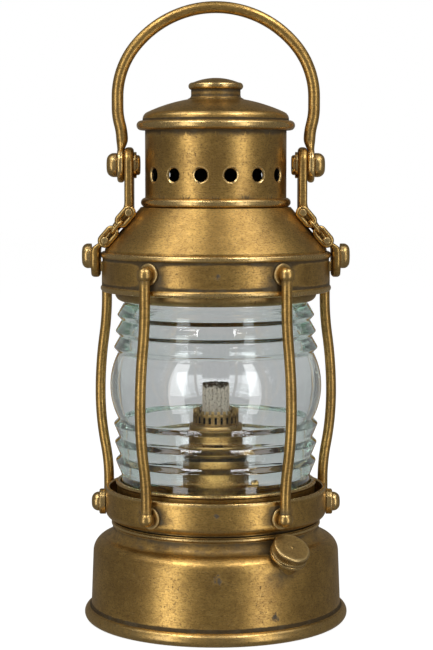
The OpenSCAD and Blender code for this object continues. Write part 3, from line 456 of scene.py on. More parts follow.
def turned(axis: str, degrees: float) -> Array:
    """Matrix of a right-handed turn.

    Args:
        axis: X, Y or Z.
        degrees: Angle of the turn.

    Returns:
        The 4x4 matrix.
    """
    i, j = {"X": (1, 2), "Y": (2, 0), "Z": (0, 1)}[axis]
    m = np.eye(4)
    c, s = math.cos(math.radians(degrees)), math.sin(math.radians(degrees))
    m[i, i], m[i, j], m[j, i], m[j, j] = c, -s, s, c
    return m


def facing(azimuth: float) -> Array:
    """Matrix that turns +X to an azimuth."""
    return turned("Z", azimuth - 90)


def round_about(azimuths: Sequence[float], radius: float, z: float) -> Array:
    """Places at one radius and height, at several azimuths."""
    a = np.radians(np.asarray(azimuths) - 90)
    return np.stack([radius * np.cos(a), radius * np.sin(a), np.full(len(a), z)], -1)


def along_x(x: float, z: float) -> Array:
    """Matrix that takes +Z to +X, at a place on the XZ plane."""
    return moved(x, 0, z) @ turned("Y", 90)


def dome_head(radius: float, height: float, edge: float, turns: int = 64) -> Skin:
    """Turned head with a flat foot at z = 0, a round edge and a slightly crowned top.

    Args:
        radius: Outer radius.
        height: Height of the edge's top.
        edge: Radius of the round edge.
        turns: Number of steps round the axis.

    Returns:
        The head's skin, on the Z axis.
    """
    rim = arc((radius - edge, height - edge), edge, 0, 88, 10)
    outline = [(0, 0), (radius, 0), *rim, (0, height)]
    return lathe(outline, edge=0.25, step=0.7, turns=turns, closed=False)


def washer(radius: float, bore: float, height: float, edge: float, turns: int = 72) -> Skin:
    """Turned ring from z = 0 to height with a round upper edge."""
    rim = arc((radius - edge, height - edge), edge, 0, 90, 8)
    return lathe([(bore, 0), (radius, 0), *rim, (bore, height)], edge=0.2, step=0.7, turns=turns)


def ball(radius: float) -> Skin:
    """Round ball about the origin."""
    return lathe(arc((0, 0), radius, -90, 90, 28), edge=0, step=1, turns=48, closed=False)


def wave(angle: Array, count: int, sharp: float = 1.0) -> Array:
    """Ripple between 0 and 1 with count crests in a turn; a larger sharp squares it off."""
    return np.clip(0.5 + 0.5 * sharp * np.cos(count * angle), 0, 1)


def to_object(name: str, skin: Skin) -> bpy.types.Object:
    """Makes a mesh object of a skin, with doubles merged and the wear kept as an attribute.

    Args:
        name: Name of the piece.
        skin: The piece's surface.

    Returns:
        The object, linked to the scene and at the origin.
    """
    mesh = bpy.data.meshes.new(name)
    mesh.from_pydata(skin.points * MM, [], skin.quads.tolist())
    mesh.attributes.new("wear", "FLOAT", "POINT").data.foreach_set("value", skin.wear.astype(np.float32))
    work = bmesh.new()
    work.from_mesh(mesh)
    bmesh.ops.remove_doubles(work, verts=work.verts, dist=WELD)
    work.to_mesh(mesh)
    work.free()
    mesh.shade_smooth()
    mesh.set_sharp_from_angle(angle=SHARP_ANGLE)
    obj = bpy.data.objects.new(name, mesh)
    bpy.context.scene.collection.objects.link(obj)
    return obj


Value = Union["Sock", float]
Paint = Union["Sock", Colour]


class Sock:
    """A shader value that takes part in Python arithmetic; each operation adds a Math node."""

    def __init__(self, tree: "ShaderTree", socket: Optional[bpy.types.NodeSocket]) -> None:
        """Wraps one output socket of a tree."""
        self.tree = tree
        self.socket = socket

    def _math(self, operation: str, a: Value, b: Value) -> "Sock":
        """Math node on two values."""
        return self.tree.add("ShaderNodeMath", {"operation": operation}, {0: a, 1: b})

    def __add__(self, other: Value) -> "Sock":
        """Sum."""
        return self._math("ADD", self, other)

    __radd__ = __add__

    def __sub__(self, other: Value) -> "Sock":
        """Difference."""
        return self._math("SUBTRACT", self, other)

    def __rsub__(self, other: Value) -> "Sock":
        """Difference from a number."""
        return self._math("SUBTRACT", other, self)

    def __mul__(self, other: Value) -> "Sock":
        """Product."""
        return self._math("MULTIPLY", self, other)

    __rmul__ = __mul__

    def step(self, low: float, high: float) -> "Sock":
        """Smooth step from 0 at low to 1 at high."""
        values = {"Value": self, "From Min": low, "From Max": high}
        return self.tree.add("ShaderNodeMapRange", {"interpolation_type": "SMOOTHSTEP"}, values)

    def between(self, low: Value, high: Value) -> "Sock":
        """Value that goes from low to high while this one goes from 0 to 1."""
        return self * (high - low) + low

    def clamped(self) -> "Sock":
        """The value kept between 0 and 1."""
        return self.tree.add("ShaderNodeClamp", {}, {"Value": self})

    def peak(self, other: Value) -> "Sock":
        """The larger of two values."""
        return self._math("MAXIMUM", self, other)


class ShaderTree:
    """A node tree that is built by expressions."""

    def __init__(self, tree: bpy.types.NodeTree) -> None:
        """Empties a tree and wraps it."""
        self.tree = tree
        tree.nodes.clear()

    def add(
        self,
        kind: str,
        settings: Optional[dict] = None,
        sockets: Optional[dict] = None,
        output: Union[int, str] = 0,
    ) -> Sock:
        """Adds one node.

        Args:
            kind: Blender's name of the node type.
            settings: Properties of the node, set first.
            sockets: Values or links of its inputs, by name or number.
            output: Output that the result stands for.

        Returns:
            The node's output.
        """
        node = self.tree.nodes.new(kind)
        for key, value in (settings or {}).items():
            setattr(node, key, value)
        for key, value in (sockets or {}).items():
            if isinstance(value, Sock):
                self.tree.links.new(value.socket, node.inputs[key])
            else:
                node.inputs[key].default_value = value
        return Sock(self, node.outputs[output] if len(node.outputs) else None)

    def mixed(self, factor: Value, a: Paint, b: Paint) -> Sock:
        """Colour between a and b by a factor."""
        return self.add("ShaderNodeMix", {"data_type": "RGBA"}, {0: factor, 6: a, 7: b}, 2)

    def place(self) -> Sock:
        """Object coordinates, in metres."""
        return self.add("ShaderNodeTexCoord", output="Object")

    def stretched(self, scale: Triple) -> Sock:
        """Object coordinates times a scale for each axis."""
        return self.add("ShaderNodeMapping", {}, {"Vector": self.place(), "Scale": scale})

    def wear(self) -> Sock:
        """Wear that the surface's points carry; see Skin."""
        return self.add("ShaderNodeAttribute", {"attribute_name": "wear"}, output="Fac")

    def ray(self, output: str) -> Sock:
        """What Light Path tells about a ray."""
        return self.add("ShaderNodeLightPath", output=output)

    def noise(self, at: Sock, scale: float, detail: float = 3.0, rough: float = 0.55) -> Sock:
        """Noise between 0 and 1 with its middle at 0.5."""
        values = {"Vector": at, "Scale": scale, "Detail": detail, "Roughness": rough}
        return self.add("ShaderNodeTexNoise", {}, values)

    def part(self, vector: Sock, axis: int) -> Sock:
        """One part of a vector: 0 for X, 1 for Y, 2 for Z."""
        return self.add("ShaderNodeSeparateXYZ", {}, {0: vector}, axis)

    def height(self) -> Sock:
        """Height over the floor at rest, in millimetres."""
        return self.part(self.place(), 2) * (1 / MM)

    def bump(self, height: Sock, strength: float, distance: float) -> Sock:
        """Normal tilted by a height in units of distance."""
        values = {"Height": height, "Strength": strength, "Distance": distance}
        return self.add("ShaderNodeBump", {}, values)

    def surface(self, shader: Sock, kind: str = "ShaderNodeOutputMaterial", **more: Sock) -> None:
        """Ends the tree in a shader, and in more, such as a Volume."""
        self.add(kind, {}, {"Surface": shader, **more})

    def principled(self, values: dict, **more: Sock) -> None:
        """Ends the tree in a Principled shader with the given inputs, and in more; see surface."""
        self.surface(self.add("ShaderNodeBsdfPrincipled", {}, values), **more)


def colour(r: float, g: float, b: float) -> Colour:
    """Linear colour for a socket."""
    return (r, g, b, 1.0)


WHITE = colour(1, 1, 1)


def new_material(name: str) -> tuple[bpy.types.Material, ShaderTree]:
    """Makes a material whose looks come from nodes.

    Args:
        name: Name of the material.

    Returns:
        The material and its empty tree.
    """
    material = bpy.data.materials.new(name)
    material.use_nodes = True
    return material, ShaderTree(material.node_tree)


@dataclass(frozen=True)
class BrassFinish:
    """Satin brass with brown patina, dark specks, dirt and painted shade in its hollows, and bright edges."""

    name: str
    gold: Colour = colour(0.595, 0.366, 0.101)
    brown: Colour = colour(0.30, 0.171, 0.045)
    bright: Colour = colour(0.84, 0.61, 0.27)
    # Colours of the hollows, corners and contact lines below: dirt and painted shade.
    dirt_and_shade: Colour = colour(0.020, 0.014, 0.008)
    bloom: Colour = colour(0.040, 0.036, 0.027)
    rim_tint: Colour = colour(0.98, 0.88, 0.70)
    umber: Colour = colour(0.185, 0.098, 0.028)
    speck: Colour = colour(0.075, 0.043, 0.018)
    dent: Colour = colour(0.042, 0.043, 0.042)
    soot: Colour = colour(0.006, 0.005, 0.004)
    roughness: float = 0.35
    coat: float = 0.28
    coat_roughness: float = 0.30
    relief_strength: float = 0.2
    relief_depth: float = 0.3 * MM
    specks: float = 1.0
    dings: tuple[Sizes, ...] = ()

    def build(self) -> bpy.types.Material:
        """Makes the material.

        Returns:
            A material that reads Object coordinates and the wear attribute.
        """
        material, tree = new_material(self.name)
        place = tree.place()
        wear = tree.wear()
        clouds = tree.noise(place, 34, 4, 0.6)
        blotch = tree.noise(place, 120, 5, 0.65)
        mottle = tree.noise(place, 430, 4, 0.75)
        grain = tree.noise(place, 1500, 2, 0.6)
        dashes = tree.noise(tree.stretched((280, 280, 2000)), 1, 3, 0.65)
        flecks = tree.noise(tree.stretched((850, 850, 2100)), 1, 2, 0.5).step(0.52, 0.64)
        ridge = (wear + (blotch - 0.5) * 0.9).step(0.25, 1.15)
        # Inner corners, contact spots and joint lines, darkened with dirt and painted shade.
        hollow = (-1.0 * wear + (blotch - 0.5) * 0.8).step(0.10, 0.80)
        soot = (-1.0 * wear).step(1.3, 1.48)
        stain = (clouds * 0.5 + blotch * 0.3 + mottle * 0.2).step(0.41, 0.62)
        spot = tree.noise(place, 1050, 2.5, 0.7).step(0.57, 0.68)
        crowd = (clouds * 0.4 + tree.noise(place, 75) * 0.6).step(0.40, 0.64)
        dots = (spot * (crowd * 0.65 + 0.35) * self.specks).clamped()
        dent: Value = 0.0
        for *at, size in self.dings:
            dent = self._ding(tree, place, at, size, mottle).peak(dent)
        dirt_and_shade = hollow.peak(dots * 0.9).peak(dent)
        tone = tree.mixed(stain * 0.7, self.gold, self.brown)
        tone = tree.mixed(mottle.step(0.47, 0.66) * 0.25, tone, self.brown)
        tone = tree.mixed(dashes.step(0.50, 0.70) * 0.55, tone, self.brown)
        tone = tree.mixed((1.0 - dashes).step(0.55, 0.75) * 0.3, tone, self.bright)
        tone = tree.mixed(flecks * 0.55, tone, self.umber)
        tone = tree.mixed(ridge * 0.5, tone, self.bright)
        # Colour of the hollows: dirt and painted shade, from near black to grey.
        hollow_dirt_and_shade = tree.mixed(blotch.step(0.48, 0.62), self.dirt_and_shade, self.bloom)
        tone = tree.mixed(hollow * 0.9, tone, hollow_dirt_and_shade)
        tone = tree.mixed(dots * 0.85, tone, self.speck)
        tone = tree.mixed(dent * 0.9, tone, self.dent)
        tone = tree.mixed(soot, tone, self.soot)
        rough = clouds * 0.14 + grain * 0.08 + mottle * 0.08 + dirt_and_shade * 0.22 - ridge * 0.08
        rough = rough + (self.roughness - 0.15)
        relief = grain * 0.35 - dashes * 0.3 - dots * 0.9 - dent + blotch * 0.4
        values = {
            "Base Color": tone,
            "Roughness": (rough + soot * 0.4).clamped(),
            "Metallic": (1.0 - dirt_and_shade * 0.6 - soot * 0.4).clamped(),
            "Normal": tree.bump(relief, self.relief_strength, self.relief_depth),
            "Specular Tint": self.rim_tint,
            "Coat Weight": (ridge * 0.1 + self.coat) * (1.0 - dirt_and_shade),
            "Coat Roughness": self.coat_roughness,
        }
        tree.principled(values)
        return material

    @staticmethod
    def _ding(tree: ShaderTree, place: Sock, at: Point, size: float, rough: Sock) -> Sock:
        """Ragged dark dent.

        Args:
            tree: Tree of the brass.
            place: Object coordinates.
            at: Middle of the dent in millimetres.
            size: Radius of the dent in millimetres.
            rough: Noise that frays its edge.

        Returns:
            1 in the dent and 0 outside.
        """
        centre = tuple(v * MM for v in at)
        away = tree.add("ShaderNodeVectorMath", {"operation": "DISTANCE"}, {0: place, 1: centre}, "Value")
        return 1.0 - (away * (1 / (size * MM)) + (rough - 0.5) * 4).step(0.3, 1.0)


@dataclass(frozen=True)
class GlassFinish:
    """Clear pressed glass with a faint green-grey tint and soft waves."""

    name: str
    tint: Colour = colour(1.0, 0.976, 1.0)
    depth_tint: Colour = colour(0.50, 0.80, 0.66)
    density: float = 40.0
    index: float = 1.35
    coat: float = 0.6
    coat_index: float = 1.9
    belt: Pair = BELT_SPAN
    belt_fade: Pair = (3.0, 1.0)
    streak: float = 0.8
    relief_strength: float = 0.06
    relief_depth: float = 4 * MM

    def build(self) -> bpy.types.Material:
        """Makes the material, whose level streaks keep to the ribs and leave the belt clear.

        Returns:
            A material that reads Object coordinates.
        """
        material, tree = new_material(self.name)
        ripple = tree.noise(tree.stretched((24, 24, 70)), 1, 2, 0.5)
        up, (low, top), (out, back) = tree.height(), self.belt, self.belt_fade
        ribbed = 1.0 - up.step(low - out, low + back) + up.step(top - back, top + out)
        streaks = tree.noise(tree.stretched((16, 16, 480)), 1, 2, 0.55) * ribbed
        values = {
            "Base Color": self.tint,
            "Roughness": 0.0,
            "Transmission Weight": 1.0,
            "IOR": self.index,
            "Specular IOR Level": 1.0,
            "Coat Weight": self.coat,
            "Coat IOR": self.coat_index,
            "Coat Roughness": 0.0,
            "Normal": tree.bump(ripple + streaks * self.streak, self.relief_strength, self.relief_depth),
        }
        absorbed = {"Color": self.depth_tint, "Density": self.density}
        tree.principled(values, Volume=tree.add("ShaderNodeVolumeAbsorption", {}, absorbed))
        return material


@dataclass(frozen=True)
class CottonFinish:
    """Cream woven cotton with brown oil specks and painted shade between its strands, burnt black at the top.
    """

    name: str
    char_from: float = 116.2
    char_to: float = 118.6
    cream: Colour = colour(0.90, 0.82, 0.66)
    pale: Colour = colour(0.95, 0.92, 0.84)
    oil_and_shade: Colour = colour(0.22, 0.14, 0.07)
    burnt: Colour = colour(0.074, 0.045, 0.025)
    char_ragged: float = 7.0
    relief_strength: float = 0.5
    relief_depth: float = 0.4 * MM

    def build(self) -> bpy.types.Material:
        """Makes the material; the char starts between two heights of the wick at rest.

        Returns:
            A material that reads Object coordinates and the wear attribute.
        """
        material, tree = new_material(self.name)
        place = tree.place()
        wear = tree.wear()
        fibre = tree.noise(place, 1600, 3, 0.7)
        spots = tree.noise(place, 900, 3, 0.7).step(0.53, 0.63)
        edge = tree.height() + (tree.noise(place, 620) - 0.5) * self.char_ragged
        char = edge.step(self.char_from, self.char_to)
        tone = tree.mixed(fibre.step(0.3, 0.8) * 0.45, self.cream, self.pale)
        tone = tree.mixed(spots * 0.75, tone, self.oil_and_shade)
        # The crevices between the strands are painted darker: painted shade.
        tone = tree.mixed((-1.0 * wear).step(0.0, 1.0) * 0.55, tone, self.oil_and_shade)
        tone = tree.mixed(char, tone, self.burnt)
        values = {
            "Base Color": tone,
            "Roughness": 0.95,
            "Specular IOR Level": 0.2,
            "Normal": tree.bump(fibre, self.relief_strength, self.relief_depth),
        }
        tree.principled(values)
        return material


@dataclass(frozen=True)
class RubberFinish:
    """Black seal rubber with a dusty bloom."""

    name: str
    black: Colour = colour(0.018, 0.018, 0.018)
    bloom: Colour = colour(0.06, 0.058, 0.054)

    def build(self) -> bpy.types.Material:
        """Makes the material.

        Returns:
            A material that reads Object coordinates.
        """
        material, tree = new_material(self.name)
        dust = tree.noise(tree.place(), 500).step(0.45, 0.7)
        values = {"Base Color": tree.mixed(dust, self.black, self.bloom), "Roughness": 0.75}
        tree.principled(values)
        return material


class Workshop:
    """Makes the finishes once and puts pieces on the frame."""

    def __init__(self) -> None:
        """Builds one material for each slot of the record."""
        finishes = {
            Slot.AGED_BRASS: BrassFinish("aged_brass", dings=DINGS),
            Slot.WORN_BRASS: BrassFinish(
                "worn_brass",
                gold=colour(0.66, 0.43, 0.145),
                brown=colour(0.42, 0.265, 0.085),
                roughness=0.30,
                specks=0.7,
            ),
            Slot.DARK_BRASS: BrassFinish(
                "dark_brass",
                gold=colour(0.42, 0.27, 0.085),
                brown=colour(0.20, 0.125, 0.045),
                roughness=0.42,
            ),
            Slot.LENS_GLASS: GlassFinish("lens_glass"),
            Slot.WICK_COTTON: CottonFinish("wick_cotton"),
            Slot.SEAL_RUBBER: RubberFinish("seal_rubber"),
        }
        self.materials = {slot: finish.build() for slot, finish in finishes.items()}

    def piece(self, name: str, skin: Skin, body: Body, slot: Slot, *nodes: str) -> None:
        """Puts a dressed piece on the frame.

        Args:
            name: Name of the piece.
            skin: Its surface in millimetres.
            body: Body that it rides on.
            slot: Slot that gives its finish.
            nodes: CAD nodes that it stands for.
        """
        obj = to_object(name, skin)
        obj.data.materials.append(self.materials[slot])
        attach(obj, body.value)
        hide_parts(*nodes)
        LOG.info("%s: %d points, stands for %s", name, len(obj.data.vertices), ", ".join(nodes))

    def dress(self, node: str, slot: Slot) -> None:
        """Gives a CAD node that stays in sight the finish of a slot.

        Args:
            node: Name of the node.
            slot: Slot that gives its finish.
        """
        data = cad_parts[node].data
        data.materials.clear()
        data.materials.append(self.materials[slot])
        LOG.info("%s: CAD mesh with %s", node, slot.value)


@dataclass
class Font:
    """The oil font with its filler."""

    shop: Workshop
    bead_mid: Pair = (62.9, 3.2)
    bead_r: float = 3.5
    foot_r: float = 63.0
    wall: float = 1.3
    lean: float = 1.1
    wall_h: float = 34.0
    shoulder_r: float = 8.0
    shoulder_sweep: float = 75.0
    neck_r: float = 52.0
    neck_h: float = 3.1
    parting: float = 1.0
    spigot_r: float = 46.3
    spigot_h: float = 4.5
    seat_w: float = 4.1
    burner_hole_r: float = 14.2
    neck_bead_r: float = 1.1
    neck_bead_in: float = 0.4
    neck_bead_drop: float = 0.3
    foot_groove: float = 0.3
    filler_az: float = 35.0
    filler_el: float = 54.0
    filler_at: float = 46.0
    filler_bore: float = 5.0
    filler_r: float = 6.6
    filler_top: float = 5.7
    collar_r: float = 9.4
    collar: Pair = (1.2, 2.6)
    cap_r: float = 9.2
    cap_span: Pair = (2.9, 7.6)
    cap_bore: float = 6.9
    cap_roof: float = 0.7
    cap_edge: float = 0.8
    cap_pip: tuple[Pair, ...] = ((0.95, 0.0), (0.5, 0.38), (0.0, 0.42))
    grooves: int = 56
    groove_depth: float = 0.42
    groove_start: float = 0.45
    groove_fade: float = 0.4
    groove_ends: Pair = (0.55, 0.75)
    groove_end_fade: float = 0.25
    filler_dirt_and_shade: float = 0.9

    @property
    def shoulder_mid_r(self) -> float:
        """Radius of the middle of the shoulder's round."""
        return self.foot_r - self.lean - self.shoulder_r

    def filler_axis(self) -> Array:
        """Matrix that puts z = 0 on the shoulder and +Z along the filler's axis.

        Returns:
            The 4x4 matrix.
        """
        lift = math.radians(self.filler_at)
        r = self.shoulder_mid_r + self.shoulder_r * math.cos(lift)
        z = self.wall_h + self.shoulder_r * math.sin(lift)
        return facing(self.filler_az) @ moved(r, 0, z) @ turned("Y", 90 - self.filler_el)

    def shell(self) -> Skin:
        """Spun shell from the rolled foot to the spigot, with its inside.

        Returns:
            The font's skin.
        """
        sweep = math.radians(self.shoulder_sweep)
        end_r = self.shoulder_mid_r + self.shoulder_r * math.cos(sweep)
        end_z = self.wall_h + self.shoulder_r * math.sin(sweep)
        hollow_r = (end_r - self.neck_r) / (1 - math.cos(sweep))
        hollow_mid = (self.neck_r + hollow_r, end_z + hollow_r * math.sin(sweep))
        neck_z = hollow_mid[1] + self.neck_h
        seat_z = neck_z + self.parting
        top_z = seat_z + self.spigot_h
        round_mid = (self.shoulder_mid_r, self.wall_h)
        floor_turn = -math.degrees(math.asin(self.bead_mid[1] / self.bead_r))
        neck_bead_mid = (self.neck_r - self.neck_bead_in, neck_z - self.neck_bead_drop - self.neck_bead_r)
        outside = [
            (self.bead_mid[0], 0),
            *arc(self.bead_mid, self.bead_r, floor_turn, 88, 22),
            (self.foot_r, 2 * self.bead_r),
            *arc(round_mid, self.shoulder_r, 0, self.shoulder_sweep, 18),
            *arc(hollow_mid, hollow_r, 180 + self.shoulder_sweep, 180, 10),
            *arc(neck_bead_mid, self.neck_bead_r, -68, 68, 10),
            (self.neck_r, neck_z),
            (self.spigot_r + self.seat_w, neck_z),
            (self.spigot_r + self.seat_w, seat_z),
            (self.spigot_r, seat_z),
            (self.spigot_r, top_z),
            (self.burner_hole_r, top_z),
        ]
        inside = [
            (self.burner_hole_r, top_z - self.wall),
            (self.spigot_r - self.wall, top_z - self.wall),
            (self.spigot_r - self.wall, neck_z - self.wall),
            (self.neck_r - self.wall, neck_z - self.wall),
            *arc(hollow_mid, hollow_r + self.wall, 180, 180 + self.shoulder_sweep, 8),
            *arc(round_mid, self.shoulder_r - self.wall, self.shoulder_sweep, 0, 10),
            (self.foot_r - self.wall, 2 * self.bead_r),
            (self.bead_mid[0] - self.wall, 0),
        ]
        groove_z = 2 * self.bead_r + self.foot_groove
        skin = lathe(outside + inside, edge=0.35, step=0.8, turns=216)
        # Dirt and painted shade in the foot groove, in the neck under the guard ring and round the filler's
        # foot.
        skin = skin.lined((groove_z, 0.4, 0.9), (neck_z, 0.5, 0.8))
        return skin.grimed_and_shaded(self.filler_axis()[None, :3, 3], self.filler_dirt_and_shade * self.collar_r)

    def filler_neck(self) -> Skin:
        """Short tube with a collar.

        Returns:
            The neck's skin.
        """
        low, top = self.collar
        outline = [
            (self.filler_bore, -self.filler_r),
            (self.filler_r, -self.filler_r),
            (self.filler_r, low),
            (self.collar_r, low),
            (self.collar_r, top),
            (self.filler_r, top),
            (self.filler_r, self.filler_top),
            (self.filler_bore, self.filler_top),
        ]
        return lathe(outline, edge=0.35, step=0.8, turns=96).placed(self.filler_axis())

    def filler_cap(self) -> Skin:
        """Knurled cap: its edge sinks by a ripple in angle, and its flat top has a small pip.

        Returns:
            The cap's skin.
        """
        low, top = self.cap_span
        roof = top - self.cap_roof
        outline = [
            (0, roof),
            (self.cap_bore, roof),
            (self.cap_bore, low),
            (self.cap_r, low),
            *arc((self.cap_r - self.cap_edge, top - self.cap_edge), self.cap_edge, 0, 90, 8),
            *((r, top + h) for r, h in self.cap_pip),
        ]
        below, above = self.groove_ends

        def knurl(r: Array, z: Array, a: Array) -> tuple[Array, Array]:
            """Sinks the middle of the edge by the groove depth.

            Args:
                r: Radii of the points.
                z: Their heights.
                a: Their angles.

            Returns:
                The new radii and heights.
            """
            side = ramp(r - self.cap_r + self.groove_start, self.groove_fade)
            span = ramp(z - low - below, self.groove_end_fade) * ramp(top - above - z, self.groove_end_fade)
            return r - self.groove_depth * side * span * wave(a, self.grooves), z

        skin = lathe(outline, edge=0.25, step=0.45, turns=self.grooves * 6, closed=False, shape=knurl)
        return skin.placed(self.filler_axis())

    def build(self) -> None:
        """Puts the font and its filler on the frame."""
        self.shop.piece("font_shell", self.shell(), Body.BASE, Slot.AGED_BRASS, "font_body")
        self.shop.piece("filler_spout", self.filler_neck(), Body.BASE, Slot.AGED_BRASS, "filler_neck")
        self.shop.piece("filler_screw_cap", self.filler_cap(), Body.FILLER_CAP, Slot.DARK_BRASS, "filler_cap")
        self.shop.dress("font_bottom", Slot.DARK_BRASS)
        self.shop.dress("filler_gasket", Slot.SEAL_RUBBER)


@dataclass
class Burner:
    """The burner with its crown, wick and wick drive."""

    shop: Workshop
    low_z: float = 50.0
    flange_z: float = 58.0
    flange_r: float = 23.0
    edge_r: float = 1.5
    cove_r: float = 4.5
    waist_z: float = 66.0
    waist_r: float = 16.5
    cup_z: float = 86.5
    cup_r: float = 18.6
    cove_drop: float = 0.5
    groove: Pair = (1.0, 1.2)
    cup_flare: float = 0.6
    cup_round: float = 3.4
    cup_bevel: float = 1.2
    top_z: float = 93.4
    thread_r: float = 11.0
    bore: float = 8.16
    crown_r: float = 11.5
    crown_wall: float = 1.1
    crown_top: float = 105.7
    crown_play: float = 0.06
    collar_r: float = 13.4
    collar_top: float = 98.8
    teeth: int = 24
    tooth_h: float = 1.7
    tooth_root: float = 0.6
    slot_span: Pair = (0.9, 3.9)
    slot_depth: float = 0.6
    slot_share: float = 0.72
    slot_end: float = 0.2
    skin_depth: float = 0.3
    soot_depth: float = 0.25
    soot_drop: float = 0.2
    wick_r: float = 7.0
    wick_span: Pair = (29.5, 118.6)
    wick_top: Triple = (0.6, 0.8, 0.7)
    strand_sink: float = 0.35
    strand_depth: float = 0.24
    wick_core: Pair = (4.5, 2.0)
    wick_side_r: float = 5.5
    strand_gain: float = 4.0
    fray_h: float = 2.0
    fray_depth: float = 0.06
    fray_counts: tuple[int, ...] = (5, 13, 19, 29, 37, 47)
    spindle_y: float = -9.6
    spindle_z: float = 71.0
    knob_r: float = 4.6
    knob_x: float = 17.42
    knob_t: float = 3.6
    knob_edge: float = 0.9
    knob_groove: float = 0.4
    knob_fade: Pair = (0.8, 0.6)
    hub_overlap: float = 1.0
    hub: Pair = (15.14, 2.4)
    knob_grooves: int = 20

    def body(self) -> Skin:
        """Turned body with a base flange, a cove, a waist, a groove and a flared cup.

        Returns:
            The body's skin.
        """
        e, c = self.edge_r, self.cove_r
        groove_r, groove_z = self.waist_r - self.groove[0], self.cup_z - self.groove[1]
        outline = [
            (self.bore, self.low_z),
            (self.thread_r, self.low_z),
            (self.thread_r, self.flange_z),
            (self.flange_r - e, self.flange_z),
            *arc((self.flange_r - e, self.flange_z + e), e, -60, 90, 10),
            *arc((self.waist_r + c, self.waist_z - self.cove_drop), c, 270, 180, 12),
            (self.waist_r, groove_z),
            (groove_r, groove_z),
            (groove_r, self.cup_z),
            *arc((self.cup_r, self.cup_z), self.cup_r - self.waist_r + self.cup_flare, 180, 105, 8),
            (self.cup_r, self.cup_z + self.cup_round),
            (self.cup_r, self.top_z - self.cup_bevel),
            (self.cup_r - self.cup_bevel, self.top_z),
            (self.bore, self.top_z),
        ]
        return lathe(outline, edge=0.4, step=1.0, turns=144)

    def crown_collar(self) -> Skin:
        """Plain ring round the foot of the crown."""
        bore, height = self.crown_r + self.crown_play, self.collar_top - self.top_z
        return washer(self.collar_r, bore, height, edge=0.7, turns=128).placed(moved(z=self.top_z))

    def crown(self) -> Skin:
        """Crown whose top edge and wall follow square ripples: gaps between teeth, and slots below.

        Returns:
            The crown's skin.
        """
        inner = self.crown_r - self.crown_wall
        outline = [
            (inner, self.top_z),
            (self.crown_r, self.top_z),
            (self.crown_r, self.crown_top),
            (inner, self.crown_top),
        ]
        slot_low, slot_top = (self.collar_top + up for up in self.slot_span)

        def toothed(r: Array, z: Array, a: Array) -> tuple[Array, Array]:
            """Lowers the edge in the gaps and sinks the slots halfway into the wall.

            Args:
                r: Radii of the points.
                z: Their heights.
                a: Their angles.

            Returns:
                The new radii and heights.
            """
            gap = wave(a, self.teeth, 5.0)
            tall = ramp(z - self.crown_top + self.tooth_h + self.tooth_root, self.tooth_h)
            sunk = wave(a, self.teeth, 9.0) * (wave(a, self.teeth) > self.slot_share)
            in_slot = ramp(z - slot_low, self.slot_end) * ramp(slot_top - z, self.slot_end)
            outer = r > self.crown_r - self.skin_depth
            return r - self.slot_depth * sunk * in_slot * outer, z - self.tooth_h * gap * tall

        skin = lathe(outline, edge=0.2, step=0.3, turns=self.teeth * 18, shape=toothed)
        depth = self.crown_r - skin.radii()
        tall = skin.points[:, 2] > self.crown_top - self.tooth_h - self.soot_drop
        return skin.sooted((depth > self.soot_depth) & ~tall)

    def wick(self) -> Skin:
        """Round woven wick.

        Its strands run up the side and waver, so its radius follows cosines of the angle whose phase
        drifts with the height, times a slower cosine of the height for the weft. The burnt top frays by
        a sum of cosines in the angle.

        Returns:
            The wick's skin.
        """
        low, top = self.wick_span
        side_r, (drop, inset, dish) = self.wick_r - self.strand_sink, self.wick_top
        outline = [(0, low), (side_r, low), (side_r, top - drop), (side_r - inset, top), (0, top - dish)]
        phases = np.random.default_rng(7).uniform(0, 2 * math.pi, len(self.fray_counts))
        core_r, core_fade = self.wick_core

        def woven(r: Array, z: Array, a: Array) -> tuple[Array, Array]:
            """Raises the strands on the side and frays the top.

            Args:
                r: Radii of the points.
                z: Their heights.
                a: Their angles.

            Returns:
                The new radii and heights.
            """
            side = ramp(r - core_r, core_fade)
            drift = 1.1 * np.cos(0.9 * z + 3 * a) + 0.7 * np.cos(1.7 * z - 5 * a)
            strand = 0.6 * np.cos(19 * a + drift)
            strand = strand + 0.4 * np.cos(31 * a - 1.6 * drift) * np.cos(2.1 * z + 4 * a)
            fray = sum(np.cos(n * a + p) for n, p in zip(self.fray_counts, phases)) / math.sqrt(len(phases))
            lift = ramp(z - top + self.fray_h, self.fray_h) * side * np.clip(0.6 * fray - 0.3, -1.1, 0.3)
            return r + side * (self.strand_depth * strand + self.fray_depth * fray), z + lift

        skin = lathe(outline, edge=0.5, step=0.45, turns=168, closed=False, shape=woven)
        radius = skin.radii()
        raised = np.clip((radius - self.wick_r + self.strand_sink) * self.strand_gain, -1, 1)
        skin.wear = np.where(radius > self.wick_side_r, raised, 0)
        return skin

    def knob(self) -> Skin:
        """Knurled knob on a hub.

        Returns:
            The knob's skin.
        """
        (hub_x, hub_r), (start, fade), edge = self.hub, self.knob_fade, self.knob_edge
        corner = arc((self.knob_r - edge, self.knob_t - edge), edge, 0, 88, 6)
        rim = [(0, 0), (self.knob_r, 0), *corner, (0, self.knob_t)]

        def knurl(r: Array, z: Array, a: Array) -> tuple[Array, Array]:
            """Sinks the rim by a ripple in angle."""
            return r - self.knob_groove * ramp(r - self.knob_r + start, fade) * wave(a, self.knob_grooves), z

        head = lathe(rim, edge=0.3, step=0.4, turns=self.knob_grooves * 8, closed=False, shape=knurl)
        stem = dome_head(hub_r, self.knob_x + self.hub_overlap - hub_x, edge=0.2, turns=40)
        put = moved(y=self.spindle_y)
        return joined([
            head.placed(put @ along_x(self.knob_x, self.spindle_z)),
            stem.placed(put @ along_x(hub_x, self.spindle_z)),
        ])

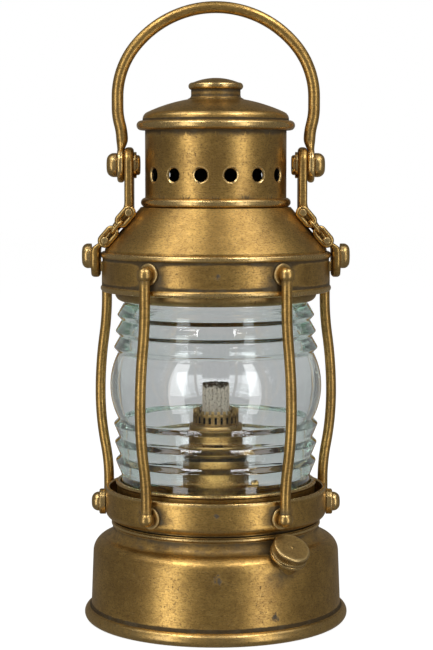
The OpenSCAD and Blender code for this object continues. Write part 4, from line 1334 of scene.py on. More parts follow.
    def build(self) -> None:
        """Puts the burner on the frame."""
        self.shop.piece("burner_turned", self.body(), Body.BASE, Slot.AGED_BRASS, "burner_body")
        self.shop.piece("crown_ring", self.crown_collar(), Body.BASE, Slot.AGED_BRASS, "crown_collar")
        self.shop.piece("crown_toothed", self.crown(), Body.BASE, Slot.DARK_BRASS, "burner_crown")
        self.shop.piece("wick_woven", self.wick(), Body.WICK, Slot.WICK_COTTON, "wick")
        self.shop.piece("wick_knurled_knob", self.knob(), Body.WICK_DRIVE, Slot.AGED_BRASS, "wick_knob")
        for node in ("burner_collar", "wick_tube", "wick_spindle"):
            self.shop.dress(node, Slot.DARK_BRASS)


@dataclass
class Cage:
    """Guard ring, gallery, lens and the four bowed guard rods."""

    shop: Workshop
    ring_r: float = 55.6
    ring_in_r: float = 53.6
    ring_bore: float = 46.5
    ring_z: float = 51.0
    ring_h: float = 16.0
    floor_h: float = 2.0
    ring_edge: float = 4.0
    ring_lip: float = 0.6
    gallery_r: float = 49.8
    gallery_in_r: float = 48.2
    gallery_h: float = 17.0
    gallery_roll: Pair = (0.4, 1.0)
    ledge: Triple = (43.0, 59.5, 61.0)
    screw_z: float = 58.5
    washer_size: Sizes = (6.4, 2.06, 3.2, 0.8)
    head_size: Triple = (4.8, 3.9, 3.4)
    lens_z: float = 61.0
    lens_top: float = 166.2
    lens_foot: Pair = (47.6, 73.4)
    rib_low_h: float = 9.3
    groove_r: float = 48.9
    belt_r: float = 53.0
    belt: Pair = BELT_SPAN
    rib_out: float = 2.5
    rib_tip_h: float = 2.3
    rib_tip_r: float = 0.8
    rib_count: int = 3
    lens_neck: Pair = (45.3, 159.0)
    neck_step: float = 1.0
    neck_rise: float = 0.8
    lens_end_r: float = LENS_BORE
    belt_wall: float = 3.3
    rod_r: float = 2.6
    rod_top: Triple = (60.3, ROD_TOP_Z, 15.0)
    rod_low: Triple = (59.6, 58.5, 8.0)
    rod_wide: Pair = (64.2, 110.9)
    main_share: float = 0.6
    ball_r: float = 3.7
    rod_washer: Sizes = (5.3, 1.46, 1.2, 0.5)
    washer_at: Pair = (56.65, 55.65)
    dirt_and_shade_share: float = 1.25

    def ring(self) -> Skin:
        """Channel-shaped ring with a round lower edge and a thin round lip.

        Returns:
            The ring's skin.
        """
        top, lip, e = self.ring_z + self.ring_h, self.ring_lip, self.ring_edge
        floor = self.ring_z + self.floor_h
        outline = [
            (self.ring_bore, self.ring_z),
            *arc((self.ring_r - e, self.ring_z + e), e, -90, 0, 14),
            *arc((self.ring_r - lip, top - lip), lip, 0, 90, 6),
            *arc((self.ring_in_r + lip, top - lip), lip, 90, 180, 6),
            (self.ring_in_r, floor),
            (self.ring_bore, floor),
        ]
        rods = round_about([*ROD_AZIMUTHS.values()], self.ring_r, self.rod_low[1])
        screws = round_about(SIDES, self.ring_r, self.screw_z)
        # Dirt and painted shade along the ring's foot and round the rod ends and the screws.
        skin = lathe(outline, edge=0.3, step=0.8, turns=216).lined((self.ring_z + 0.2, 0.6, 1.0))
        return skin.grimed_and_shaded(np.concatenate([rods, screws]), self.dirt_and_shade_share * self.rod_washer[0])

    def gallery(self) -> Skin:
        """Inner ring with a rolled top and a ledge under the lens.

        Returns:
            The gallery's skin.
        """
        floor, (roll_in, roll) = self.ring_z + self.floor_h, self.gallery_roll
        top = floor + self.gallery_h
        ledge_r, ledge_low, ledge_top = self.ledge
        outline = [
            (self.gallery_in_r, floor),
            (self.gallery_r, floor),
            (self.gallery_r, top - 2 * roll),
            *arc((self.gallery_r - roll_in, top - roll), roll, -60, 90, 10),
            (self.gallery_in_r, top),
            (self.gallery_in_r, ledge_top),
            (ledge_r, ledge_top),
            (ledge_r, ledge_low),
            (self.gallery_in_r, ledge_low),
        ]
        return lathe(outline, edge=0.3, step=1.4, turns=192)

    def lens(self) -> Skin:
        """Pressed lens: foot, three ribs, belt, three ribs and neck, with a belt of even thickness.

        Returns:
            The lens's skin.
        """
        foot_r, foot_top = self.lens_foot
        groove_r, (belt_low, belt_top) = self.groove_r, self.belt
        neck_r, neck_z = self.lens_neck
        belly_h = self.belt_r - groove_r
        steps = np.arange(self.rib_count + 1) / self.rib_count
        low = np.stack([foot_r + (groove_r - foot_r) * steps, foot_top + (belt_low - foot_top) * steps], -1)
        high_r = groove_r - (groove_r - neck_r - self.neck_step) * steps
        high = np.stack([high_r, belt_top + (neck_z - belt_top) * steps], -1)
        outside = [
            (foot_r, self.lens_z),
            *self._ribs(low, self.rib_low_h - self.rib_tip_h),
            *bulge(low[-1], high[0], belly_h, 40),
            *self._ribs(high, self.rib_tip_h)[1:],
            tuple(high[-1]),
            (neck_r, neck_z + self.neck_rise),
            (neck_r, self.lens_top),
        ]
        belt_in = groove_r - self.belt_wall
        belly = bulge((belt_in, belt_low), (belt_in, belt_top), belly_h, 40)
        inside = [(self.lens_end_r, self.lens_top), *belly[::-1], (self.lens_end_r, self.lens_z)]
        return lathe(outside + inside, edge=self.rib_tip_r, step=1.2, turns=256)

    def _ribs(self, grooves: Array, tip_at: float) -> list[Point]:
        """Corners of a stack of ribs, each a groove and then the tip above it.

        Args:
            grooves: The grooves from the lowest to the highest.
            tip_at: Distance of each tip from the groove under it, along the stack.

        Returns:
            Grooves and tips in turn, without the last groove.
        """
        along = np.diff(grooves, axis=0)
        along /= np.linalg.norm(along, axis=1)[:, None]
        tips = grooves[:-1] + tip_at * along + self.rib_out * along[:, ::-1] * (1, -1)
        return [tuple(p) for p in np.stack([grooves[:-1], tips], 1).reshape(-1, 2)]

    def rod(self) -> Skin:
        """One bowed rod with its two balls, in the XZ plane.

        Each half is an upright end and two arcs that share one lean: with rise h and way out d, the
        lean is 2 atan(d / h), and the arcs' radii add up to h / sin(lean).

        Returns:
            The rod's skin.
        """
        wide_x, wide_z = self.rod_wide
        path: list[Point] = []
        for (end_x, end_z, straight), up in ((self.rod_low, -1), (self.rod_top, 1)):
            rise = abs(end_z - wide_z) - straight
            lean = 2 * math.atan((wide_x - end_x) / rise)
            both = rise / math.sin(lean)
            main, small = self.main_share * both, (1 - self.main_share) * both
            turn = math.degrees(lean)
            bow = arc((wide_x - main, wide_z), main, 0, up * turn, 16)
            back = arc((end_x + small, wide_z + up * rise), small, 180 + up * turn, 180, 12)
            half = bow + back[1:] + [(end_x, end_z)]
            path = half[::-1] if up < 0 else path + half[1:]
        bar = wire(dense(in_plane(path), step=2.5, closed=False), self.rod_r, sides=28)
        ends = in_plane([end[:2] for end in (self.rod_low, self.rod_top)])
        balls = [ball(self.ball_r).placed(moved(*end)) for end in ends]
        # Dirt and painted shade on the bar next to its balls.
        return joined([bar.grimed_and_shaded(ends, self.ball_r), *balls])

    def rod_washers(self) -> Skin:
        """Eight washers behind the balls.

        Returns:
            The washers' skin.
        """
        # Dirt and painted shade on each washer round its ball.
        one = washer(*self.rod_washer).grimed_and_shaded(np.array([[0, 0, self.rod_washer[2]]]), self.ball_r)
        ends = [along_x(self.washer_at[0], self.rod_top[1]), along_x(self.washer_at[1], self.rod_low[1])]
        return joined([one.placed(facing(az) @ end) for az in ROD_AZIMUTHS.values() for end in ends])

    def build(self) -> None:
        """Puts the cage on the frame."""
        out = self.ring_r + self.washer_size[2]
        heads = dome_head(*self.head_size).placed(along_x(out, self.screw_z)).both_sides()
        washers = washer(*self.washer_size).placed(along_x(self.ring_r, self.screw_z)).both_sides()
        self.shop.piece("cage_ring", self.ring(), Body.CAGE, Slot.AGED_BRASS, "guard_ring")
        self.shop.piece("lens_gallery", self.gallery(), Body.CAGE, Slot.AGED_BRASS, "glass_gallery")
        self.shop.piece("gallery_thick_washers", washers, Body.CAGE, Slot.AGED_BRASS, "gallery_washers")
        self.shop.piece("gallery_screw_heads", heads, Body.CAGE, Slot.AGED_BRASS, "gallery_screws")
        self.shop.piece("ribbed_lens", self.lens(), Body.CAGE, Slot.LENS_GLASS, "lens")
        rod = self.rod()
        for name, az in ROD_AZIMUTHS.items():
            bar = rod.placed(facing(az))
            self.shop.piece(f"rod_{name}", bar, Body.CAGE, Slot.AGED_BRASS, f"guard_rod_{name}")
        # The washers take the dark brass, which also paints the shade behind the balls.
        self.shop.piece("rod_end_washers", self.rod_washers(), Body.CAGE, Slot.DARK_BRASS, "rod_washers")
        self.shop.dress("rod_studs", Slot.DARK_BRASS)


@dataclass
class Hood:
    """Collar, band, cone, vent drum, dome and finial."""

    shop: Workshop
    wall: float = 1.2
    collar_bore: float = 45.6
    collar_skirt_z: float = 160.4
    collar_z: float = 166.5
    collar_t: float = 1.5
    collar_flare: float = 4.0
    collar_lip: float = 0.8
    collar_play: float = 0.1
    lens_end_r: float = LENS_BORE
    band_r: float = 56.6
    band_z: float = 165.3
    band_h: float = 19.8
    lip: Pair = (2.0, 1.2)
    bead_out: float = 1.0
    bead_r: float = 1.7
    bead_step: float = 0.2
    cone_low: Pair = (55.4, 186.1)
    cone_top: Pair = (37.4, 207.1)
    skirt: Pair = (55.3, 182.1)
    skirt_drop: float = 1.0
    drum_r: float = 35.2
    drum_top: float = 245.1
    foot_out: float = 2.15
    foot_h: float = 4.6
    foot_play: float = 0.02
    drum_start: float = 1.0
    neck_in: float = 0.5
    vents: int = 15
    vent_r: float = 3.25
    vent_bevel: float = 0.7
    vent_z: float = 223.1
    vent_wear: float = 1.3
    soot_share: float = 0.3
    rim_mid: Pair = (37.0, 247.5)
    rim_r: float = 2.4
    dome_r: float = 36.4
    dome_edge: float = 4.0
    dome_edge_z: float = 250.5
    crown_r: float = 81.0
    crown_mid_z: float = 180.65
    dome_skirt: Pair = (33.8, 5.0)
    dome_skirt_drop: float = 1.0
    stud_r: float = 2.5
    finial_neck: Triple = (12.3, 260.7, 265.1)
    finial_bead: Pair = (13.6, 268.6)
    finial_top: float = 271.0
    finial_sink: Pair = (0.6, 0.15)
    flare_rise: float = 0.1
    flare: float = 1.6
    cap_share: float = 2.4
    dirt_and_shade_reach: float = 6.8

    def collar(self) -> Skin:
        """Ring over the neck of the lens, flared out to a flange inside the band.

        Returns:
            The collar's skin.
        """
        foot = self.collar_bore + self.collar_lip
        flange_r, top = self.band_r - self.wall - self.collar_play, self.collar_z + self.collar_t
        outline = [
            (self.collar_bore, self.collar_skirt_z),
            (foot, self.collar_skirt_z),
            *arc((foot, self.collar_skirt_z + self.collar_flare), self.collar_flare, -70, 0, 10),
            (foot + self.collar_flare, self.collar_z),
            (flange_r, self.collar_z),
            (flange_r, top),
            (self.lens_end_r, top),
            (self.lens_end_r, self.collar_z),
            (self.collar_bore, self.collar_z),
        ]
        return lathe(outline, edge=0.25, step=1.2, turns=160)

    def band(self) -> Skin:
        """Band with a bead at each edge and a lip inside.

        Returns:
            The band's skin.
        """
        top, inner = self.band_z + self.band_h, self.band_r - self.wall
        bead_x = self.band_r + self.bead_out - self.bead_r
        clear = 2 * self.bead_r + self.bead_step
        lip_w, lip_t = self.lip
        outline = [
            (inner - lip_w, self.band_z),
            *arc((bead_x, self.band_z + self.bead_r), self.bead_r, -90, 60, 14),
            (self.band_r, self.band_z + clear),
            (self.band_r, top - clear),
            *arc((bead_x, top - self.bead_r), self.bead_r, -60, 90, 14),
            (inner, top),
            (inner, self.band_z + lip_t),
            (inner - lip_w, self.band_z + lip_t),
        ]
        # Dirt and painted shade along the beads' inner edges and round the rod ends and the sides.
        touches = round_about([*ROD_AZIMUTHS.values(), *SIDES], self.band_r, ROD_TOP_Z)
        skin = lathe(outline, edge=0.3, step=0.8, turns=216)
        skin = skin.lined((self.band_z + clear, 0.35, 1.0), (top - clear, 0.35, 1.0))
        return skin.grimed_and_shaded(touches, self.dirt_and_shade_reach)

    def cone(self) -> Skin:
        """Spun cone from the band's skirt up to the foot of the drum.

        Returns:
            The cone's skin.
        """
        (low_r, low_z), (top_r, top_z) = self.cone_low, self.cone_top
        run = (low_r - top_r) / (top_z - low_z)
        step = self.wall * math.hypot(1, run)
        skirt_r, skirt_z = self.skirt
        skirt_in, neck_z = skirt_r - self.wall, top_z - self.wall
        neck_r = self.drum_r - self.wall - self.neck_in
        outline = [
            (skirt_in, skirt_z),
            (skirt_r, skirt_z),
            (skirt_r, low_z - self.skirt_drop),
            (low_r, low_z),
            (top_r, top_z),
            (neck_r, top_z),
            (neck_r, neck_z),
            (top_r + self.wall * run - step, neck_z),
            (skirt_in, top_z - (skirt_in + step - top_r) / run),
        ]
        # Dirt and painted shade where the cone meets the band's skirt and the drum's foot.
        return lathe(outline, edge=0.4, step=0.7, turns=216).lined((low_z, 0.6, 0.9), (top_z, 0.6, 1.0))

    def drum_foot(self) -> Skin:
        """Round bead at the foot of the drum.

        Returns:
            The bead's skin.
        """
        low, inner = self.cone_top[1] + self.foot_play, self.drum_r - self.wall
        top = low + self.foot_h
        bead = bulge((self.drum_r, low), (self.drum_r, top), self.foot_out, 18)
        outline = [(inner, low), *bead, (inner, top)]
        # Dirt and painted shade along both edges of the bead.
        return lathe(outline, edge=0.2, step=0.5, turns=180).lined((low, 0.4, 1.0), (top, 0.4, 1.0))

    def drum_wall(self) -> Skin:
        """Drum wall with a row of bevelled vent holes.

        Each hole sits in its own field of the wall. A point of a field lies on the line from the hole's
        edge to the field's border at one of many headings: border + f (edge - border), with f from 0 to 1.
        The rows run from the border to the edge on the outside, over the bevel, through the wall, and
        from the edge back to the border on the inside.

        Returns:
            The wall's skin.
        """
        half_w = math.pi * self.drum_r / self.vents
        low, top = self.cone_top[1] + self.drum_start - self.vent_z, self.drum_top - self.vent_z
        corners = np.array([(half_w, low), (half_w, top), (-half_w, top), (-half_w, low)])
        border = dense(corners, step=1.5, closed=True)
        heading = np.arctan2(border[:, 1], border[:, 0])
        ring = np.stack([np.cos(heading), np.sin(heading)], -1)
        wide = self.vent_r + self.vent_bevel
        inner = self.drum_r - self.wall
        shares = np.array([0, 0.25, 0.5, 0.72, 0.88, 0.96, 1.0])
        outside = [(f, wide, self.drum_r) for f in shares]
        bevel_end = self.drum_r - self.vent_bevel
        through = [
            (1.0, wide - 0.12, self.drum_r - 0.05),
            (1.0, self.vent_r + 0.1, bevel_end + 0.1),
            (1.0, self.vent_r, bevel_end),
            (1.0, self.vent_r, inner + 0.05),
        ]
        inside = [(f, self.vent_r, inner) for f in shares[::-1]]
        share, hole_r, depth = np.array(outside + through + inside).T[:, :, None]
        flat = border[None] + share[..., None] * (hole_r[..., None] * ring[None] - border[None])
        spread = np.radians(360 / self.vents * np.arange(self.vents) + 90)
        turn = (flat[..., 0] / self.drum_r)[None] + spread[:, None, None]
        r = np.broadcast_to(depth[None], turn.shape)
        z = np.broadcast_to((flat[..., 1] + self.vent_z)[None], turn.shape)
        points = np.stack([r * np.cos(turn), r * np.sin(turn), z], -1).reshape(-1, 3)
        rows, cols = share.shape[0], len(border)
        quads = grid_quads(rows, cols, False, True)
        starts = (np.arange(self.vents) * rows * cols)[:, None, None]
        row, edge, bevel = np.arange(rows), len(shares) - 1, len(shares) + 1
        bright = np.where((row >= edge) & (row <= bevel), self.vent_wear, 0.0)
        bright[row > bevel] = SOOT
        wear = np.tile(np.repeat(bright, cols), self.vents)
        skin = Skin(points, (quads[None] + starts).reshape(-1, 4), wear).outward()
        # Dirt and painted shade under the lid's rim and over the foot bead.
        skin = skin.lined((self.drum_top, 1.1, 1.0), (self.cone_top[1] + self.foot_h, 0.9, 0.8))
        return skin.sooted(skin.radii() < inner + self.soot_share * self.wall)

    def dome(self) -> Skin:
        """Lid: skirt, rolled rim, round edge and a flat crown, with its inside.

        Returns:
            The lid's skin.
        """
        edge_mid = (self.dome_r - self.dome_edge, self.dome_edge_z)
        turn = math.degrees(math.atan2(self.dome_edge_z - self.crown_mid_z, edge_mid[0]))
        skirt_r, skirt_h = self.dome_skirt
        inner = self.crown_r - self.wall
        crown_mid, rim_z = (0, self.crown_mid_z), self.rim_mid[1] + self.rim_r
        top_turn, under_turn = (math.degrees(math.acos(self.stud_r / r)) for r in (self.crown_r, inner))
        outline = [
            (skirt_r, self.drum_top - skirt_h),
            (skirt_r, self.drum_top),
            *arc(self.rim_mid, self.rim_r, -90, 90, 18),
            (self.dome_r, rim_z),
            *arc(edge_mid, self.dome_edge, 0, turn, 12),
            *arc(crown_mid, self.crown_r, turn, top_turn, 18)[1:],
            *arc(crown_mid, inner, under_turn, turn, 16),
            *arc(edge_mid, self.dome_edge - self.wall, turn, 0, 8)[1:],
            (skirt_r - self.wall, self.dome_edge_z - self.dome_skirt_drop),
            (skirt_r - self.wall, self.drum_top - skirt_h),
        ]
        foot_z = self.finial_neck[1] - 0.2
        skin = lathe(outline, edge=0.3, step=0.7, turns=180)
        # Dirt and painted shade where the lid sits on the drum, at the top of its rim and round the finial's
        # foot.
        skin = skin.lined((self.drum_top, 0.4, 1.0), (rim_z, 0.4, 1.0), (foot_z, 0.2, 0.9))
        radii = skin.radii()
        under = np.hypot(radii, skin.points[:, 2] - self.crown_mid_z) < self.crown_r - 0.5 * self.wall
        return skin.sooted(under & (radii < skirt_r + 0.1))

    def finial(self) -> Skin:
        """Button: flared foot, neck, bead and a domed top.

        Returns:
            The button's skin.
        """
        neck_r, low, neck_top = self.finial_neck
        bead_r, bead_top = self.finial_bead
        foot = neck_r + self.flare
        cap_r = self.cap_share * neck_r
        outline = [
            (0, low - self.finial_sink[0]),
            (foot, low - self.finial_sink[1]),
            *arc((foot, low + self.flare + self.flare_rise), self.flare, 265, 180, 8),
            *bulge((neck_r, neck_top), (neck_r, bead_top), bead_r - neck_r, 12),
            *arc((0, self.finial_top - cap_r), cap_r, 67, 90, 12),
        ]
        skin = lathe(outline, edge=0.3, step=0.6, turns=128, closed=False)
        # Dirt and painted shade at the button's foot and under its bead.
        return skin.lined((low, 0.35, 0.8), (neck_top, 0.35, 0.8))

    def build(self) -> None:
        """Puts the hood on the frame."""
        self.shop.piece("lens_collar", self.collar(), Body.CAGE, Slot.DARK_BRASS, "glass_collar")
        self.shop.piece("beaded_band", self.band(), Body.CAGE, Slot.AGED_BRASS, "hood_band")
        self.shop.piece("spun_cone", self.cone(), Body.CAGE, Slot.AGED_BRASS, "hood_cone")
        drum = joined([self.drum_wall(), self.drum_foot()])
        self.shop.piece("pierced_drum", drum, Body.CAGE, Slot.AGED_BRASS, "vent_drum")
        self.shop.piece("domed_lid", self.dome(), Body.CAGE, Slot.AGED_BRASS, "dome_lid")
        self.shop.piece("finial_button", self.finial(), Body.CAGE, Slot.AGED_BRASS, "finial")
        self.shop.dress("finial_nut", Slot.DARK_BRASS)


@dataclass
class Ears:
    """Ear straps with their screws, pivot rivets and washers, and the short chains."""

    shop: Workshop
    pivot_z: float = PIVOT_Z
    ear_x: Pair = (40.9, 45.3)
    ear_r: float = 8.9
    knee_z: float = 207.5
    foot_z: float = 203.95
    neck_out: Pair = (55.9, 191.0)
    neck_in: Pair = (53.6, 189.6)
    tab_x: Pair = (57.7, 62.1)
    tab_top_z: float = 187.0
    tab_low_z: float = 181.0
    edge: float = 1.7
    edge_wear: float = 0.5
    strap_steps: int = 360
    corner_steps: int = 6
    crowding: float = 0.06
    bend_reach: float = 1.3
    end_hold: float = 6.0
    screw: Pair = (62.1, 182.7)
    screw_head: Triple = (6.2, 4.7, 3.0)
    rivet_x: float = 49.3
    rivet_r: float = 3.0
    rivet_overlap: float = 0.5
    rivet_head: Triple = (6.0, 5.0, 3.6)
    tail_x: float = 39.5
    tail_head: Triple = (5.0, 1.9, 1.2)
    washer_size: Sizes = (6.5, 3.06, 1.4, 0.35)
    chain_mid: Triple = (48.8, -12.5, 197.65)
    chain_lean: float = 49.4
    link_len: float = 12.4
    link_mid_len: float = 9.6
    link_mid_w: float = 6.6
    link_mid_wire_r: float = 0.95
    link_w: float = 7.2
    link_pitch: float = 12.9
    wire_r: float = 1.3
    pin_r: float = 0.9
    pin_below: float = 3.3
    pin_above: float = 0.2
    pin_play: float = 0.1
    pin_head: Triple = (1.9, 0.9, 0.6)

    def strap(self) -> Skin:
        """Bent strap of the right-hand ear.

        Pairs of points on the outer and the inner face are joined by even steps and smoothed along the
        strap. Across each step lies a rounded rectangle, whose half width follows the round ends:
        sqrt(r^2 - d^2) at the distance d past the middle of an end.

        Returns:
            The strap's skin.
        """
        top, low = self.pivot_z + self.ear_r, self.tab_low_z - self.ear_r
        outer, inner = (
            np.array([(ear_x, top), (ear_x, knee_z), neck, (tab_x, self.tab_top_z), (tab_x, low)])
            for ear_x, knee_z, neck, tab_x in (
                (self.ear_x[1], self.knee_z, self.neck_out, self.tab_x[1]),
                (self.ear_x[0], self.foot_z, self.neck_in, self.tab_x[0]),
            )
        )
        spans = np.linalg.norm(np.diff(outer, axis=0), axis=1)
        keys = np.concatenate([[0], np.cumsum(spans)])
        even = np.linspace(0, 1, self.strap_steps)
        s = keys[-1] * (even - self.crowding * np.sin(2 * math.pi * even))
        near = bell(s[:, None] - s[None], self.bend_reach) * np.gradient(s)[None]
        near /= near.sum(1)[:, None]
        bends = np.clip(np.minimum(s, keys[-1] - s) / self.end_hold - 0.5, 0, 1)[:, None]
        faces = []
        for line in (outer, inner):
            raw = np.stack([np.interp(s, keys, line[:, i]) for i in (0, 1)], -1)
            faces.append(raw + bends * (near @ raw - raw))
        out, back = faces
        mid, thick = (out + back) / 2, out - back
        half_t = np.linalg.norm(thick, axis=1) / 2
        n = thick / (2 * half_t)[:, None]
        past = np.maximum(np.maximum(mid[:, 1] - self.pivot_z, self.tab_low_z - mid[:, 1]), 0)
        half_w = np.sqrt(np.maximum(self.ear_r**2 - past**2, 0))
        end = ramp(self.ear_r - past, self.edge)
        half_t = half_t - self.edge + self.edge * np.sqrt(1 - (1 - end) ** 2)
        e = np.minimum(self.edge, 0.9 * np.minimum(half_w, half_t))[:, None]
        quarters = [np.linspace(q, q + 90, self.corner_steps) for q in (0, 90, 180, 270)]
        a = np.radians(np.concatenate(quarters))
        corner = np.repeat(np.array([(1, 1), (-1, 1), (-1, -1), (1, -1)]), self.corner_steps, axis=0)
        side_t, side_w = corner[:, 0], corner[:, 1]
        along = side_t * (half_t[:, None] - e) + e * np.cos(a)
        wide = side_w * (half_w[:, None] - e) + e * np.sin(a)
        points = np.stack([mid[:, :1] + along * n[:, :1], wide, mid[:, 1:] + along * n[:, 1:]], -1)
        caps = [np.broadcast_to([p[0], 0, p[1]], (1, len(a), 3)) for p in (mid[0], mid[-1])]
        points = np.concatenate([caps[0], points, caps[1]])
        rim = (np.abs(np.cos(a)) > 0.2) & (np.abs(np.sin(a)) > 0.2)
        wear = np.tile(np.where(rim, self.edge_wear, 0.0), len(points))
        quads = grid_quads(len(points), len(a), False, True)
        return Skin(points.reshape(-1, 3), quads, wear).outward()

    def chain_at(self) -> Array:
        """Matrix that puts +X along the line of the right-hand chain."""
        return moved(*self.chain_mid) @ turned("Y", self.chain_lean)

    def link(self, length: float, width: float, wire_r: float, turn: float, shift: float) -> Skin:
        """Oval link of the right-hand chain.

        Args:
            length: Outside length.
            width: Outside width.
            wire_r: Radius of its wire.
            turn: Turn about the chain's line, in degrees.
            shift: Place along the chain's line.

        Returns:
            The link's skin in the lantern's frame.
        """
        bend, half = width / 2 - wire_r, (length - width) / 2
        oval = arc((half, 0), bend, -90, 90, 16) + arc((-half, 0), bend, 90, 270, 16)
        skin = wire(dense(in_plane(oval), step=0.6, closed=True), wire_r, sides=20, closed=True)
        return skin.placed(self.chain_at() @ moved(x=shift) @ turned("X", turn))

    def chain(self) -> Skin:
        """Three links of the right-hand chain.

        Returns:
            The chain's skin.
        """
        end = (self.link_len, self.link_w, self.wire_r)
        middle = (self.link_mid_len, self.link_mid_w, self.link_mid_wire_r)
        ends = [self.link(*end, 0, side * self.link_pitch / 2) for side in (-1, 1)]
        return joined([*ends, self.link(*middle, 90, 0)])

    def pins(self) -> Skin:
        """Two headed pins of the right-hand chain.

        Returns:
            The pins' skin.
        """
        reach = self.link_pitch / 2 + self.link_len / 2 - 2 * self.wire_r - self.pin_r - self.pin_play
        low = self.link_w / 2 + self.pin_below
        shank = dome_head(self.pin_r, low + self.wire_r + self.pin_above, edge=0.1, turns=24)
        head = dome_head(*self.pin_head, turns=32).placed(moved(z=self.wire_r + self.pin_play))
        pin = joined([shank.placed(moved(z=-low)), head]).placed(turned("X", 90))
        return joined([pin.placed(self.chain_at() @ moved(x=side * reach)) for side in (-1, 1)])

    def rivets(self) -> Skin:
        """Dome-head rivets through the eyes, with their tails inside.

        Returns:
            The rivet's skin.
        """
        head = dome_head(*self.rivet_head).placed(along_x(self.rivet_x, self.pivot_z))
        tail = dome_head(*self.tail_head).placed(moved(self.tail_x, 0, self.pivot_z) @ turned("Y", -90))
        length = self.rivet_x - self.tail_x + 2 * self.rivet_overlap
        shank = dome_head(self.rivet_r, length, edge=0.1, turns=32)
        return joined([head, tail, shank.placed(along_x(self.tail_x - self.rivet_overlap, self.pivot_z))])

    def build(self) -> None:
        """Puts the ears, their fixings and the chains on the frame."""
        strap, chain = self.strap(), self.chain()
        for side, ear, links in (("right", strap, chain), ("left", strap.mirrored(), chain.mirrored())):
            self.shop.piece(f"ear_strap_{side}", ear, Body.CAGE, Slot.AGED_BRASS, f"ear_{side}")
            self.shop.piece(f"chain_links_{side}", links, Body.CAGE, Slot.WORN_BRASS, f"chain_{side}")
        pins, rivets = self.pins().both_sides(), self.rivets().both_sides()
        screws = dome_head(*self.screw_head).placed(along_x(*self.screw)).both_sides()
        washers = washer(*self.washer_size).placed(along_x(self.tail_x, self.pivot_z)).both_sides()
        self.shop.piece("ear_screw_heads", screws, Body.CAGE, Slot.AGED_BRASS, "ear_screws")
        self.shop.piece("chain_headed_pins", pins, Body.CAGE, Slot.DARK_BRASS, "chain_pins")
        self.shop.piece("pivot_dome_rivets", rivets, Body.CAGE, Slot.AGED_BRASS, "pivot_rivets")
        self.shop.piece("pivot_thin_washers", washers, Body.CAGE, Slot.AGED_BRASS, "pivot_washers")
        self.shop.dress("ear_nuts", Slot.DARK_BRASS)


@dataclass
class Bail:
    """The wire bail with its flattened eyes."""

    shop: Workshop
    pivot_z: float = PIVOT_Z
    wire_r: float = 2.95
    half_w: float = 48.8
    arm_x: float = 46.6
    eye_x: float = 45.6
    eye_t: float = 3.4
    eye_r: float = 8.7
    eye_bore: float = 3.06
    eye_edge: float = 1.4
    eye_play: float = 0.02
    eye_spread: float = 2.2
    flat_h: float = 6.5
    wire_start: float = 4.0
    bend_r: float = 32.0
    bend_z: float = 239.9
    spring_z: float = 261.5
    side_r: float = 40.0
    side_sweep: float = 38.9

    def arch(self) -> Skin:
        """Bent wire, flattened towards its eyes.

        The path is an S-bend of two arcs, an upright, a side arc and half of the top arc, and then the
        same back on the other side. Near the eyes the section thins to the eye and widens across.

        Returns:
            The wire's skin.
        """
        sweep = math.degrees(math.acos(1 - (self.half_w - self.arm_x) / (2 * self.bend_r)))
        bend_h = 2 * self.bend_r * math.sin(math.radians(sweep))
        side_x = self.half_w - self.side_r
        lean = math.radians(self.side_sweep)
        top_r = self.side_r + side_x / math.cos(lean)
        top_z = self.spring_z - side_x * math.tan(lean)
        right = [
            (self.arm_x, self.pivot_z + self.wire_start),
            *arc((self.arm_x + self.bend_r, self.bend_z), self.bend_r, 180, 180 - sweep, 8),
            *arc((self.half_w - self.bend_r, self.bend_z + bend_h), self.bend_r, -sweep, 0, 8)[1:],
            *arc((side_x, self.spring_z), self.side_r, 0, self.side_sweep, 16),
            *arc((0, top_z), top_r, self.side_sweep, 90, 20)[1:],
        ]
        line = dense(np.asarray(right), step=1.2, closed=False)
        path = np.concatenate([line, line[-2::-1] * (-1, 1)])
        flat = 1 - ramp(path[:, 1] - self.pivot_z - self.flat_h, self.flat_h)
        flat = flat * flat * (3 - 2 * flat)
        centre = self.eye_x + self.eye_t / 2
        path[:, 0] += np.sign(path[:, 0]) * flat * (centre - self.arm_x)
        thin = self.wire_r + flat * (self.eye_t / 2 - self.eye_play - self.wire_r)
        wide = self.wire_r + flat * self.eye_spread
        return tube(in_plane(path), np.stack([thin, wide], -1), sides=32)

    def eyes(self) -> Skin:
        """Flat round eyes on the rivets.

        Returns:
            The skin of both eyes.
        """
        half, edge = self.eye_t / 2, self.eye_edge
        outline = [
            (self.eye_bore, -half),
            *arc((self.eye_r - edge, edge - half), edge, -90, 0, 6),
            *arc((self.eye_r - edge, half - edge), edge, 0, 90, 6),
            (self.eye_bore, half),
        ]
        eye = lathe(outline, edge=0.2, step=0.8, turns=80)
        return eye.placed(along_x(self.eye_x + half, self.pivot_z)).both_sides()

    def build(self) -> None:
        """Puts the bail on the frame."""
        self.shop.piece("bail_wire", joined([self.arch(), self.eyes()]), Body.BAIL, Slot.AGED_BRASS, "bail")


